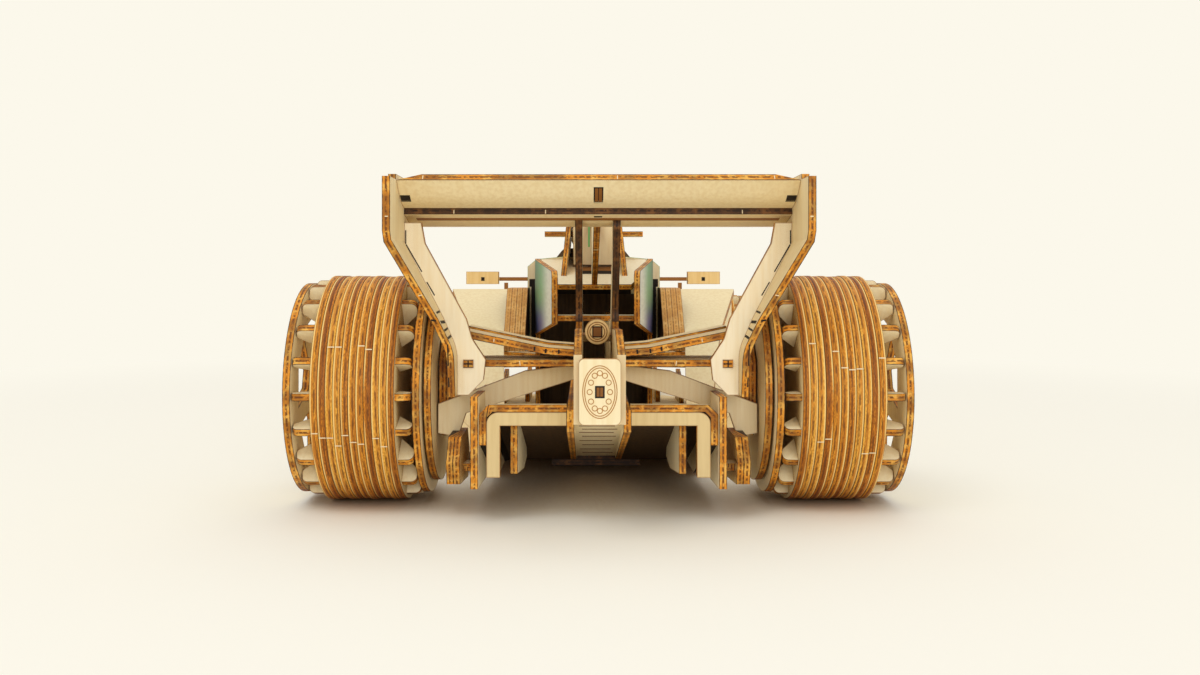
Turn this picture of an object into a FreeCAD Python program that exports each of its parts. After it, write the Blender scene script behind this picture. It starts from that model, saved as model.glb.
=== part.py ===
import FreeCAD, Part
import math
import os

# Plywood kit model of an open wheel racing car, in millimetres.
# +Y is forward, +X is the car's right side, +Z is up, and the wheels stand on Z = 0.
# Lengths along the car are counted from the rear axle and shifted to the middle on export.

# Sheet and overall layout
ply = 2.0
wheelbase = 296.0
front_overhang = 96.0
rear_overhang = 60.0
half_width = 83.0
tyre_radius = 32.0
front_tyre_radius = tyre_radius - 4.0
axle_height = tyre_radius
front_axle_height = front_tyre_radius
step_clear = 0.4

# Wheels, with their radii as drops from the tyre's
rim_drop = 2.2
rim_window_drop = 10.5
rim_hub_radius = 8.5
rim_spokes = 5
rim_spoke_width = 5.0
hub_half = 3.0
brake_disc_drop = 5.5
brake_disc_inside = half_width - 38.6
rear_fin_count = 20
front_fin_count = 14
fin_outer_drop = 1.4
fin_inner_drop = 10.0
fin_crown_drop = 5.2
fin_gap = 0.9
rear_tread_plies = 11
front_tread_plies = 7
rear_outer_fin = 5.6
rear_inner_fin = 4.4
front_outer_fin = 4.5
front_hub_reach = 11.0
axle_radius = 2.0
axle_recess = 0.5
running_gap = 0.1

# Floor, with its widths as shares of the car's and its front end as a share of the wheelbase
plank_bottom = 3.0
plank_half_width = 0.169 * half_width
plank_front_half_width = 0.109 * half_width
plank_front = 0.845 * wheelbase
floor_rear = tyre_radius + 5.0
floor_front = 0.885 * wheelbase
floor_half_width = 0.747 * half_width

# Spine, keel and diffuser, which keep their distance from the wheels
spine_inner = 4.2
spine_top = 49.9
crash_top = spine_top - 4.9
tail_top = spine_top + 0.1
pylon_width = 11.0
pylon_foot = 5.0
pylon_head = -20.0
keel_top = 30.0
keel_rear = -42.0
keel_front = floor_rear + 23.0
ramp_rear = -40.0
ramp_rear_height = 27.0
ramp_front_height = 8.2
frame_rear = -34.0
frame_top = 28.5
frame_arm = 3.5
frame_bottom = 11.6
roof_bend = 4.0
tunnel_half_width = half_width - 54.0
tunnel_front = 8.0
outer_fence_bottom = 9.0
fence_drop = 0.8
arm_knee_x = 20.0
duct_fin_x = half_width - 46.7
duct_fin_thickness = 3.6
upright_x = half_width - 43.0
upright_thickness = 4.0
upright_rear = -13.0
upright_front = 9.0
upright_bottom = axle_height - 13.0
upright_top = axle_height + 14.0

# Rear wing, from the tyres' tops upwards
endplate_x = half_width - 30.3
endplate_elbow_x = half_width - 40.7
endplate_foot_x = half_width - 44.4
endplate_elbow = axle_height + 20.4
endplate_ankle = axle_height + 12.0
endplate_foot = axle_height
endplate_rear = -47.0
wing_rear = -25.4
wing_front = -1.0
wing_rear_height = axle_height + tyre_radius + 17.2
wing_front_height = wing_rear_height - 2.2
flap_rear = wing_rear - 11.8
flap_top = wing_rear_height + 7.9
flap_droop = 1.6
flap_droop_width = 6.4
brace_top = wing_front_height - 1.0
endplate_top = flap_top - 0.6
endplate_crest = flap_top + 0.7
endplate_knee = brace_top - 5.5

# Tail
light_half_width = 5.0
light_corner = 0.8
light_bottom = crash_top - 16.6
light_top = crash_top - 0.9
exhaust_height = spine_top - 1.9
exhaust_radius = 3.6
exhaust_bar_width = 2.6
exhaust_bar_height = 3.0
exhaust_rear = -6.0
exhaust_length = 20.0
tie_top = endplate_ankle - 2.6
tie_rear = -23.0
tie_depth = 16.0
tie_peg_x = endplate_foot_x - 4.0
tie_peg_width = 2.5
tie_peg_reach = 0.6
beam_depth = 12.0
beam_height = endplate_ankle - 0.9

# Engine cover and airbox, built up from the spine
cover_rear = 0.128 * wheelbase
cover_rear_x = 0.16 * half_width
tub_rear = 0.3986 * wheelbase
tub_half_width = 0.265 * half_width
cover_bottom_rear = spine_top - 1.4
cover_bottom_front = spine_top - 8.9
cover_top_rear = spine_top + 15.6
cover_top_front = spine_top + 21.1
deck_rear = 0.2973 * wheelbase
deck_front = 0.4324 * wheelbase
deck_rear_height = spine_top + 10.1
deck_front_height = deck_rear_height + 10.0
deck_rear_half_width = 0.163 * half_width
bulkhead_top = deck_front_height + 2.0
bulkhead_half_width = 0.3205 * half_width
airbox_rear = 0.3378 * wheelbase
airbox_wall = 0.3851 * wheelbase
airbox_bottom = bulkhead_top - 6.0
airbox_bottom_x = 0.1375 * half_width
airbox_top_x = 0.1133 * half_width
airbox_top = airbox_bottom + 22.0
intake_top = airbox_top + 2.0
camera_rear = 0.4189 * wheelbase
camera_depth = 8.0
camera_height = airbox_top - 8.0
camera_half_span = 0.236 * half_width
shark_fin_rear = -1.0
shark_fin_tip = airbox_top - 6.0

# Tub, cockpit and nose
tub_top = 57.0
seat_bulkhead = 0.5068 * wheelbase
seat_bulkhead_top = bulkhead_top + 4.0
seat_length = 62.0
dash = 0.77 * wheelbase
cockpit_end_height = tub_top - 2.0
wheel_to_dash = 15.0
nose_joint_half_width = 0.1265 * half_width
nose_joint_top = tub_top - 14.0
nose_joint_bottom = 20.0
nose_tip_half_width = 0.0783 * half_width
nose_tip_top = 24.0
nose_tip_bottom = 12.0
nose_length = front_overhang - 12.0
halo_bottom = tub_top + 9.0
halo_half_width = 0.235 * half_width
halo_band = 3.5
halo_front = dash - 2.0
mirror_y = 0.554 * wheelbase
mirror_inner = 0.494 * half_width
mirror_outer = 0.6627 * half_width
mirror_bottom = tub_top + 3.8
mirror_top = tub_top + 9.2

# Sidepods
pod_front = 0.6689 * wheelbase
pod_front_height = tub_top - 1.0
pod_crest = 0.4932 * wheelbase
pod_crest_height = tub_top + 1.0
pod_waist = 0.321 * wheelbase
pod_waist_height = tub_top - 15.0
pod_tail = floor_rear + 7.0
pod_half_width = 0.699 * half_width
pod_waist_half_width = 0.554 * half_width
pod_tail_half_width = 0.4337 * half_width
pod_wall_x = 0.311 * half_width
pod_wall_thickness = 8.0
pod_wall_rear = 0.3243 * wheelbase
pod_wall_bottom = 36.0
pod_wall_front = 0.473 * wheelbase
inlet_bottom = 30.0

# Front wing
front_wing_half_span = half_width - 5.0
front_wing_bottom = 9.0
flap_sweep = 5.0
flap_pitch = 7.5
flap_rise = 5.6
flap_chord = 10.5
flap_thickness = 1.6
front_flaps = 3

# Front suspension and steering
kingpin_x = half_width - 35.0
kingpin_hole = 1.45
kingpin_flat = 1.05
lower_arm_bottom = front_axle_height - 7.0
upper_arm_bottom = front_axle_height + 7.0
knuckle_half_depth = 5.0
knuckle_half_width = 2.0
steering_arm_length = 12.0
steering_arm_bottom = front_axle_height + 1.4
steering_arm_thickness = 1.8
track_rod_half_depth = 2.0
track_rod_bottom = steering_arm_bottom + 2.0
track_rod_peg = 0.75
track_rod_slot = 2.2
track_rod_play = 0.5
track_rod_end = 2.5

front_axle = wheelbase
nose_joint = front_axle + 4.0
nose_end = nose_joint + nose_length
front_end = front_axle + front_overhang
flap_root_y = front_end - 14.0
middle = (front_end - rear_overhang) / 2.0
spine_outer = spine_inner + ply
keel_outer = spine_outer + ply
inner_fence_x = keel_outer + 0.8228 * (tunnel_half_width - roof_bend - ply - keel_outer + 1.0)
floor_bottom = plank_bottom + ply
floor_top = floor_bottom + ply
light_front = ply - rear_overhang
duct_fin_outer = duct_fin_x + duct_fin_thickness
far = 400.0


def vector(a, b, plane, level):
    """The point (a, b) of a plane: x holds (y, z), y holds (x, z), z holds (x, y)."""
    if plane == "x":
        return FreeCAD.Vector(level, a, b)
    if plane == "y":
        return FreeCAD.Vector(a, level, b)
    return FreeCAD.Vector(a, b, level)


def corner(before, here, after):
    """The tangent points and the middle of the arc that rounds one corner of an outline."""
    radius = here[2]
    u = FreeCAD.Vector(before[0] - here[0], before[1] - here[1], 0)
    v = FreeCAD.Vector(after[0] - here[0], after[1] - here[1], 0)
    u.normalize()
    v.normalize()
    half = u.getAngle(v) / 2.0
    reach = radius / math.tan(half)
    bisector = u + v
    bisector.normalize()
    at = FreeCAD.Vector(here[0], here[1], 0)
    middle_point = at + bisector * (radius / math.sin(half) - radius)
    return at + u * reach, middle_point, at + v * reach


def face(points, plane, level):
    """A flat face from (a, b) or (a, b, radius) corners."""
    stations = []
    count = len(points)
    for i, here in enumerate(points):
        if len(here) == 3 and here[2] > 0:
            stations.append(corner(points[i - 1], here, points[(i + 1) % count]))
        else:
            stations.append((FreeCAD.Vector(here[0], here[1], 0),))
    edges = []
    for i, station in enumerate(stations):
        if len(station) == 3:
            arc = [vector(p.x, p.y, plane, level) for p in station]
            edges.append(Part.Arc(*arc).toShape())
        start = station[-1]
        end = stations[(i + 1) % count][0]
        if (end - start).Length > 1e-6:
            ends = [vector(p.x, p.y, plane, level) for p in (start, end)]
            edges.append(Part.LineSegment(*ends).toShape())
    return Part.Face(Part.Wire(edges))


def plate(points, plane, low, high):
    """A flat piece that lies between two levels of its plane."""
    return face(points, plane, low).extrude(vector(0, 0, plane, high - low))


def sheet_edges(path, thickness):
    """The two long sides of a bent sheet, as outlines, from its centre line."""
    half = thickness / 2.0
    sides = ([], [])
    last = len(path) - 1
    for i, here in enumerate(path):
        back = path[i - 1] if i else None
        ahead = path[i + 1] if i < last else None
        normals = []
        for start, end in ((back, here), (here, ahead)):
            if start and end:
                run = FreeCAD.Vector(end[0] - start[0], end[1] - start[1], 0)
                run.normalize()
                normals.append(FreeCAD.Vector(-run.y, run.x, 0))
        if len(normals) == 1:
            offset, turn = normals[0], 0.0
        else:
            offset = (normals[0] + normals[1]) / (1.0 + normals[0].dot(normals[1]))
            turn = normals[0].cross(normals[1]).z
        radius = here[2] if len(here) == 3 else 0.0
        for side, sign in ((0, 1.0), (1, -1.0)):
            fitted = radius - math.copysign(half, turn) * sign if radius and turn else radius
            sides[side].append((here[0] + sign * half * offset.x, here[1] + sign * half * offset.y, fitted))
    return sides


def lengthened(path):
    """The same path with its last point moved 1 mm further on."""
    start, end = path[-2], path[-1]
    run = math.hypot(end[0] - start[0], end[1] - start[1])
    return path[:-1] + [(end[0] + (end[0] - start[0]) / run, end[1] + (end[1] - start[1]) / run)]


def sheet(path, plane, low, high, thickness=ply):
    """A sheet bent along a centre line and as wide as the gap between two levels."""
    left, right = sheet_edges(path, thickness)
    return plate(left + right[::-1], plane, low, high)


def mirrored(points):
    """A closed outline from its right half, first and last points on the middle line or beside it."""
    left = [(-p[0],) + tuple(p[1:]) for p in reversed(points) if abs(p[0]) > 1e-9]
    return list(points) + left


def pair(shape):
    """A piece of the right side and its mirror image on the left."""
    return [shape, flipped(shape)]


def flipped(shape):
    return shape.mirror(FreeCAD.Vector(0, 0, 0), FreeCAD.Vector(1, 0, 0))


def disc(radius, low, high, y, z):
    """A round piece along X."""
    return Part.makeCylinder(radius, high - low, FreeCAD.Vector(low, y, z), FreeCAD.Vector(1, 0, 0))


def between(path, value):
    """Where a straight line through two points lies at a value of its first coordinate."""
    (a, b), (c, d) = path
    return b + (d - b) * (value - a) / (c - a)


def save(name, pieces):
    """One file for each node, shifted so that the middle of the car's length is at Y = 0."""
    solids = [s for piece in pieces for s in piece.Solids]
    shape = solids[0] if len(solids) == 1 else Part.makeCompound(solids)
    shape = shape.copy()
    shape.translate(FreeCAD.Vector(0, -middle, 0))
    shape.exportStep("parts/" + name + ".step")


# Wheels

def wheel_layout(tread_plies, outer_fin, inner_fin, hub_reach):
    """The planes of one wheel across X, from its outer rim inwards to the end of its hub."""
    rim_inside = half_width - ply
    tread_outside = rim_inside - outer_fin
    tread_inside = tread_outside - tread_plies * ply
    return rim_inside, tread_outside, tread_inside, tread_inside - inner_fin, tread_inside - hub_reach


def fin_profile(radius, base, tip):
    """A shoulder fin, wide at its outer end and narrow at its root, from the tread towards the rim."""
    way = math.copysign(1.0, tip - base)
    top = 2.0 * radius
    return [
        (base, top - fin_inner_drop),
        (tip, top - fin_crown_drop),
        (tip - way * fin_gap, top - fin_outer_drop),
        (base, top - fin_outer_drop),
    ]


def tyre(layout, radius, y, fin_count):
    """The stack of round tread plies with a row of fins on the outer shoulder, or on both."""
    rim_inside, tread_outside, tread_inside, drum_outside, hub_end = layout
    body = disc(radius, tread_inside, tread_outside, y, radius)
    rows = [(tread_outside, rim_inside)]
    if drum_outside < tread_inside:
        rows.append((tread_inside, drum_outside))
    fins = []
    for base, tip in rows:
        blade = plate(fin_profile(radius, base, tip), "y", y - ply / 2.0, y + ply / 2.0)
        for i in range(fin_count):
            fin = blade.copy()
            angle = 90.0 + i * 360.0 / fin_count
            fin.rotate(FreeCAD.Vector(0, y, radius), FreeCAD.Vector(1, 0, 0), angle)
            fins.append(fin)
    return body.fuse(fins).removeSplitter().cut(square_hub(hub_end, rim_inside, radius, y))


def square_hub(low, high, axle, y):
    """The square bar that carries the tread plies between the rims."""
    near, reach = y - hub_half, y + hub_half
    bottom, top = axle - hub_half, axle + hub_half
    return plate([(near, bottom), (reach, bottom), (reach, top), (near, top)], "x", low, high)


def rim_window(radius, y):
    """One opening between two spokes of the outer rim."""
    spread = math.pi / rim_spokes
    window_radius = radius - rim_window_drop
    inner = rim_hub_radius * math.sin(spread) - rim_spoke_width / 2.0
    outer = window_radius * math.sin(spread) - rim_spoke_width / 2.0
    low = radius + rim_hub_radius * math.cos(spread) + 2.0
    high = radius + window_radius * math.cos(spread) + 1.0
    peak = radius + window_radius
    points = [(y - inner, low), (y + inner, low), (y + outer, high), (y, peak), (y - outer, high)]
    return plate(points, "x", half_width - ply, half_width)


def wheel_hub(layout, radius, y):
    """The spoked outer rim and the square hub, with an inner rim and a brake disc on the rear wheels."""
    rim_inside, tread_outside, tread_inside, drum_outside, hub_end = layout
    body = disc(radius - rim_drop, rim_inside, half_width, y, radius)
    window = rim_window(radius, y)
    for i in range(rim_spokes):
        cutter = window.copy()
        cutter.rotate(FreeCAD.Vector(0, y, radius), FreeCAD.Vector(1, 0, 0), i * 360.0 / rim_spokes)
        body = body.cut(cutter)
    body = body.fuse(square_hub(hub_end, rim_inside, radius, y))
    if drum_outside < tread_inside:
        body = body.fuse([
            disc(radius - rim_drop, drum_outside - ply, drum_outside, y, radius),
            disc(radius - brake_disc_drop, brake_disc_inside, brake_disc_inside + ply, y, radius),
        ])
    return body.cut(disc(axle_radius + running_gap, 0, far, y, radius))


def save_wheels():
    rear_reach = half_width - ply - rear_outer_fin - rear_tread_plies * ply - brake_disc_inside
    rear = wheel_layout(rear_tread_plies, rear_outer_fin, rear_inner_fin, rear_reach)
    front = wheel_layout(front_tread_plies, front_outer_fin, 0.0, front_hub_reach)
    ends = (
        ("rear", rear, tyre_radius, 0.0, rear_fin_count),
        ("front", front, front_tyre_radius, front_axle, front_fin_count),
    )
    for end, layout, radius, y, fins in ends:
        for name, piece in (("tyre", tyre(layout, radius, y, fins)), ("wheel", wheel_hub(layout, radius, y))):
            save(end + "_" + name + "_right", [piece])
            save(end + "_" + name + "_left", [flipped(piece)])


# Floor

def plank():
    points = mirrored([
        (0, floor_rear),
        (plank_half_width, floor_rear),
        (plank_half_width, floor_rear + 60.0),
        (plank_front_half_width, plank_front, 4.0),
        (0, plank_front),
    ])
    return plate(points, "z", plank_bottom, floor_bottom)


def floor_board():
    length = floor_front - floor_rear
    points = mirrored([
        (0, floor_rear),
        (floor_half_width - 24.0, floor_rear),
        (floor_half_width - 2.0, floor_rear + 23.0, 6.0),
        (floor_half_width, floor_rear + 43.0),
        (floor_half_width, floor_rear + 0.59 * length, 10.0),
        (floor_half_width - 16.0, floor_rear + 0.75 * length, 8.0),
        (tub_half_width, floor_rear + 0.85 * length, 6.0),
        (nose_joint_half_width + ply, floor_rear + 0.893 * length),
        (nose_joint_half_width, floor_front),
        (0, floor_front),
    ])
    return plate(points, "z", floor_bottom, floor_top)


def floor_fences():
    """Upright strakes on the floor under each sidepod's inlet."""
    pieces = []
    for share, rear, front in ((0.48, -10.0, 18.0), (0.645, -16.0, 8.0), (0.81, -26.0, -6.0)):
        x = share * floor_half_width
        rear, front = pod_front + rear, pod_front + front
        crown = (front - 4.0, floor_top + 14.0)
        points = [(rear, floor_top), (rear, floor_top + 8.0), crown, (front, floor_top)]
        pieces += pair(plate(points, "x", x - ply / 2.0, x + ply / 2.0))
    return pieces


# Keel, diffuser and rear running gear

ramp_line = ((ramp_rear, ramp_rear_height), (floor_rear - 1.0, ramp_front_height))
ramp_slope = (ramp_rear_height - ramp_front_height) / (floor_rear - 1.0 - ramp_rear)
ramp_rise = math.hypot(1.0, ramp_slope) * ply / 2.0


def keel():
    """Two side plates joined by the ramp between them."""
    points = [
        (keel_rear, between(ramp_line, keel_rear) - 3.0),
        (keel_rear, keel_top),
        (keel_front, keel_top),
        (keel_front, floor_top),
        (floor_rear, floor_top),
        (floor_rear, floor_bottom),
    ]
    ramp = sheet(list(ramp_line), "x", -spine_outer, spine_outer)
    return ramp.fuse(pair(plate(points, "x", spine_outer, keel_outer))).removeSplitter()


def arm_top():
    """The outer part of the rear arm's upper edge, from its knee to the upright."""
    return ((arm_knee_x, tie_top - 3.7), (upright_x + upright_thickness, upright_bottom + 9.6))


def rear_arm():
    """A flat arm that faces the rear and hangs the upright from the spine."""
    knee, outer_end = arm_top()
    outer = outer_end[0]
    points = [
        (spine_outer, tie_top - ply),
        knee,
        outer_end,
        (outer, upright_bottom + 1.5),
        (duct_fin_outer - 1.4, upright_bottom + 0.5),
        (duct_fin_x, upright_bottom + 7.0),
        (spine_outer, tie_top - 6.0),
    ]
    return plate(points, "y", upright_rear - ply, upright_rear)


def rear_upright():
    """The plate that the arm and the duct fin meet, with the stub axle that reaches through the wheel."""
    points = [
        (upright_rear, upright_bottom + 5.0),
        (upright_rear + 5.0, upright_bottom),
        (upright_front - 5.0, upright_bottom),
        (upright_front, upright_bottom + 5.0),
        (upright_front, upright_top - 6.0),
        (upright_front - 6.0, upright_top),
        (upright_rear + 6.0, upright_top),
        (upright_rear, upright_top - 6.0),
    ]
    outer = upright_x + upright_thickness
    body = plate(points, "x", upright_x, outer)
    return body.fuse(disc(axle_radius, outer, half_width - axle_recess, 0, axle_height))


def diffuser_frame():
    """An L-shaped plate across the end of one diffuser tunnel."""
    arm_bottom = frame_top - frame_arm
    points = [
        (keel_outer, frame_top),
        (tunnel_half_width, frame_top, roof_bend - ply / 2.0),
        (tunnel_half_width, frame_bottom),
        (tunnel_half_width - frame_arm, frame_bottom),
        (tunnel_half_width - frame_arm, arm_bottom),
        (keel_outer, arm_bottom),
    ]
    return plate(points, "y", frame_rear, frame_rear + ply)


def diffuser_roof():
    """The bent sheet over one tunnel, turned down along its outer side."""
    edge, top = tunnel_half_width + ply / 2.0, frame_top + ply / 2.0
    path = [
        (keel_outer, top),
        (edge - roof_bend / 2.0, top),
        (edge, top - roof_bend / 2.0),
        (edge, frame_top - 8.5),
    ]
    left, right = sheet_edges(path, ply)
    start = frame_rear + ply
    run = FreeCAD.Vector(0, floor_rear - start, floor_bottom - frame_top)
    slope = face(left + right[::-1], "y", start).extrude(run)
    above = [(frame_rear, floor_bottom), (floor_rear, floor_bottom), (floor_rear, far), (frame_rear, far)]
    body = sheet(path, "y", frame_rear, start).fuse(slope).common(plate(above, "x", 0, half_width))
    return body.removeSplitter().cut(rear_arm())


def above_roof():
    """The sloping diffuser roof and the space above it."""
    start = frame_rear + ply
    points = [
        (frame_rear, frame_top),
        (start, frame_top),
        (floor_rear, floor_bottom),
        (floor_rear, far),
        (frame_rear, far),
    ]
    return plate(points, "x", 0, half_width)


def diffuser_fences():
    wall = tunnel_half_width + ply
    top = between(arm_top(), wall) - fence_drop
    outer = [
        (frame_rear - ply, outer_fence_bottom),
        (frame_rear - ply, top),
        (tunnel_front, top - 1.0),
        (floor_rear, floor_top + 6.0),
        (floor_rear, floor_top - 1.0),
        (tunnel_front, floor_top),
    ]
    inner = [
        (frame_rear + 5.0, 11.8),
        (frame_rear + 5.0, 24.4),
        (frame_rear + ply, frame_top),
        (tunnel_front - 2.0, frame_top),
        (tunnel_front + 10.0, floor_top + 2.0),
        (tunnel_front - 6.0, floor_top + 1.0),
    ]
    outside = plate(outer, "x", wall, wall + ply).cut(rear_arm())
    inside = plate(inner, "x", inner_fence_x, inner_fence_x + ply).cut(above_roof())
    return pair(outside) + pair(inside)


def duct_fin():
    """A two-ply winglet under the upright, tied to the outer fence by a tab."""
    points = [
        (-29.0, 9.0),
        (-31.0, 15.0),
        (-26.0, 21.0),
        (upright_rear + 3.0, 21.4),
        (-5.0, 15.0),
        (-9.0, 7.6),
    ]
    body = plate(points, "x", duct_fin_x, duct_fin_outer).cut(rear_arm())
    wall = tunnel_half_width + 2.0 * ply
    tab = [(wall, 12.0), (duct_fin_x, 12.0), (duct_fin_x, 12.0 + ply), (wall, 12.0 + ply)]
    return body.fuse(plate(tab, "y", -26.0, -20.0)).removeSplitter()


def spine_side():
    """One long plate from the tail to the tub, with the wing pylon standing on it."""
    head = wing_front_height + 0.2
    top_rear = pylon_head
    points = [
        (light_front, light_bottom),
        (light_front, crash_top),
        (-36.0, tail_top),
        (pylon_foot - 4.0, spine_top - 1.2, 4.0),
        (top_rear + 3.0, endplate_knee + 3.5),
        (top_rear, head),
        (top_rear + pylon_width, head),
        (pylon_foot + pylon_width + 2.0, spine_top, 5.0),
        (tub_rear, spine_top),
        (tub_rear, floor_top),
        (keel_front, floor_top),
        (floor_rear - 1.0, between(ramp_line, floor_rear - 1.0) + ramp_rise),
        (ramp_rear, between(ramp_line, ramp_rear) + ramp_rise),
    ]
    return plate(points, "x", spine_inner, spine_outer).cut(wing_main()).cut(cover_tie())


def tie_board():
    """A flat board from the spine to the endplate, pegged through the brace."""
    tip = endplate_foot_x - ply / 2.0
    points = [
        (spine_outer, tie_rear),
        (tie_peg_x - tie_peg_width / 2.0, tie_rear),
        (tie_peg_x - tie_peg_width / 2.0, tie_rear - ply - tie_peg_reach),
        (tie_peg_x + tie_peg_width / 2.0, tie_rear - ply - tie_peg_reach),
        (tie_peg_x + tie_peg_width / 2.0, tie_rear),
        (tip, tie_rear),
        (tip, tie_rear + tie_depth),
        (spine_outer, tie_rear + tie_depth),
    ]
    return plate(points, "z", tie_top - ply, tie_top)


def light_plate():
    points = mirrored([
        (light_half_width - light_corner, light_bottom),
        (light_half_width, light_bottom + light_corner),
        (light_half_width, light_top - light_corner),
        (light_half_width - light_corner, light_top),
    ])
    return plate(points, "y", -rear_overhang, light_front)


def exhaust():
    """A stack of rings pushed on a square bar, over a board between the spine sides."""
    mouth = 3.0 * ply
    rings = Part.makeCylinder(
        exhaust_radius, mouth, FreeCAD.Vector(0, exhaust_rear, exhaust_height), FreeCAD.Vector(0, 1, 0)
    )
    half = exhaust_bar_width / 2.0
    low = exhaust_height - exhaust_bar_height / 2.0
    bar = mirrored([(half, low), (half, low + exhaust_bar_height)])
    hole = plate(bar, "y", exhaust_rear, exhaust_rear + mouth - 1.0)
    stem = plate(bar, "y", exhaust_rear + mouth - 1.0, exhaust_rear + exhaust_length)
    board_top = low + 0.4
    board = mirrored([(spine_inner, board_top - ply), (spine_inner, board_top)])
    base = plate(board, "y", exhaust_rear + mouth, exhaust_rear + exhaust_length)
    return rings.cut(hole).fuse([stem, base]).removeSplitter()


def beam_wing():
    """Two swept-up blades on each side of the spine, under the wing."""
    blades = []
    front_rear = tie_rear + beam_depth + 1.0
    for rise, rear, depth in ((0.0, tie_rear, beam_depth), (0.6, front_rear, beam_depth - 3.0)):
        low = beam_height + rise
        path = [(spine_outer, low), (14.0, low + 0.6, 12.0), (endplate_foot_x - 2.4, low + 5.2)]
        blades += pair(sheet(path, "y", rear, rear + depth).cut(spine_side()))
    return blades


# Rear wing

def endplate_path():
    return [
        (endplate_x, endplate_crest + 1.0),
        (endplate_x, endplate_knee),
        (endplate_elbow_x, endplate_elbow, 12.0),
        (endplate_foot_x, endplate_ankle, 12.0),
        (endplate_foot_x, endplate_foot),
    ]


def wing_endplate():
    """The outer sheet of the wing, folded in under it and down to the tie board."""
    outline = [
        (endplate_rear, endplate_top),
        (endplate_rear, endplate_knee + 2.5),
        (endplate_rear + 2.0, endplate_knee),
        (tie_rear - 11.0, endplate_elbow - 2.0),
        (tie_rear - 6.0, endplate_foot),
        (tie_rear + 5.0, endplate_foot),
        (tie_rear + 7.0, endplate_elbow - 2.0),
        (tie_rear + 9.0, endplate_knee - 10.0),
        (wing_front - 4.0, endplate_knee + 2.0),
        (wing_front + 1.0, endplate_knee + 6.0),
        (wing_front + 1.0, endplate_top - 5.0),
        (wing_front - 5.0, endplate_crest),
        (flap_rear - 1.0, endplate_crest),
        (flap_rear - 1.0, endplate_top),
    ]
    body = sheet(endplate_path(), "y", endplate_rear - 5.0, wing_front + 10.0)
    return body.common(plate(outline, "x", 0, half_width))


def wing_brace():
    """A plate that faces the rear and stiffens the fold of the endplate."""
    inner_side = sheet_edges(endplate_path(), ply)[1]
    outer_edge = [(p[0], p[1], p[2]) for p in inner_side[1:]]
    points = [
        (endplate_x - ply / 2.0, brace_top),
    ] + outer_edge + [
        (endplate_foot_x - 4.1, endplate_foot),
        (endplate_foot_x - 8.0, endplate_ankle - 8.0),
        (endplate_foot_x - 8.6, endplate_ankle - 2.5),
        (endplate_foot_x - 5.0, endplate_ankle + 3.0, 4.0),
        (endplate_elbow_x - 7.1, endplate_elbow),
        (endplate_x - 6.5, endplate_knee),
        (endplate_x - 5.5, brace_top),
    ]
    return plate(points, "y", tie_rear - ply, tie_rear).cut(tie_board())


def wing_main():
    """The lower blade of the wing, between the endplates."""
    tip = endplate_x - ply / 2.0
    path = [
        (wing_rear, wing_rear_height),
        (wing_rear + 9.0, wing_front_height + 0.3, 40.0),
        (wing_front, wing_front_height),
    ]
    return sheet(path, "x", -tip, tip)


def wing_flap():
    """The upper blade, steep and cambered, with its top edge drooping towards the endplates."""
    tip = endplate_x - ply / 2.0
    path = [
        (flap_rear, flap_top),
        (flap_rear + 5.6, flap_top - 4.7, 12.0),
        (flap_rear + 11.5, flap_top - 6.3),
    ]
    crown = mirrored([
        (tip, 0.0),
        (tip, flap_top + 0.8 - flap_droop),
        (tip - flap_droop_width, flap_top + 0.8),
    ])
    return sheet(path, "x", -tip, tip).common(plate(crown, "y", flap_rear - 5.0, wing_front))


# Engine cover and airbox

def cover_path():
    return [
        (cover_rear_x, cover_rear),
        (tub_half_width, tub_rear - 6.0, 60.0),
        (tub_half_width, tub_rear),
    ]


def cover_side():
    """One printed side panel of the engine cover."""
    outline = [
        (cover_rear, cover_bottom_rear),
        (cover_rear, cover_top_rear, 3.0),
        (tub_rear, cover_top_front),
        (tub_rear, cover_bottom_front),
    ]
    return sheet(cover_path(), "z", 0, far).common(plate(outline, "x", 0, half_width))


def cover_tie():
    """The cross bar between the panels, on top of the spine."""
    rear = cover_rear + 6.0
    reach = between(((cover_rear, cover_rear_x), (tub_rear - 6.0, tub_half_width)), rear) - ply / 2.0 - 0.02
    points = mirrored([(reach, rear), (reach, rear + 6.0)])
    return plate(points, "z", spine_top - 0.8, spine_top - 0.8 + ply)


def deck_line():
    return ((deck_rear, deck_rear_height), (deck_front, deck_front_height))


def cover_inside():
    """The space between the two side panels, full height."""
    inner = sheet_edges(cover_path(), ply)[0]
    wide = tub_half_width - ply / 2.0
    points = mirrored([(p[0], p[1], p[2]) for p in inner[:2]] + [(wide, deck_front)])
    return plate(points, "z", 0, far)


def engine_deck():
    """The six-sided deck that slopes down between the side panels."""
    outline = mirrored([
        (deck_rear_half_width, deck_rear),
        (tub_half_width - ply / 2.0, deck_rear + 22.0),
        (tub_half_width - ply / 2.0, deck_front),
    ])
    slab = sheet(list(deck_line()), "x", -half_width, half_width)
    inside = cover_inside()
    return slab.common(plate(outline, "z", 0, far)).common(inside)


def cover_bulkhead():
    """The arched plate whose rim shows above the deck."""
    points = mirrored([
        (tub_half_width + ply / 2.0, tub_top),
        (tub_half_width + ply / 2.0, pod_wall_bottom),
        (pod_wall_x, pod_wall_bottom),
        (pod_wall_x, pod_crest_height + 1.5),
        (bulkhead_half_width, pod_crest_height + 1.5),
        (bulkhead_half_width, bulkhead_top - 4.0),
        (bulkhead_half_width - 3.6, bulkhead_top - 1.0),
        (bulkhead_half_width - 14.0, bulkhead_top),
    ])
    return plate(points, "y", deck_front, deck_front + ply)


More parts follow.
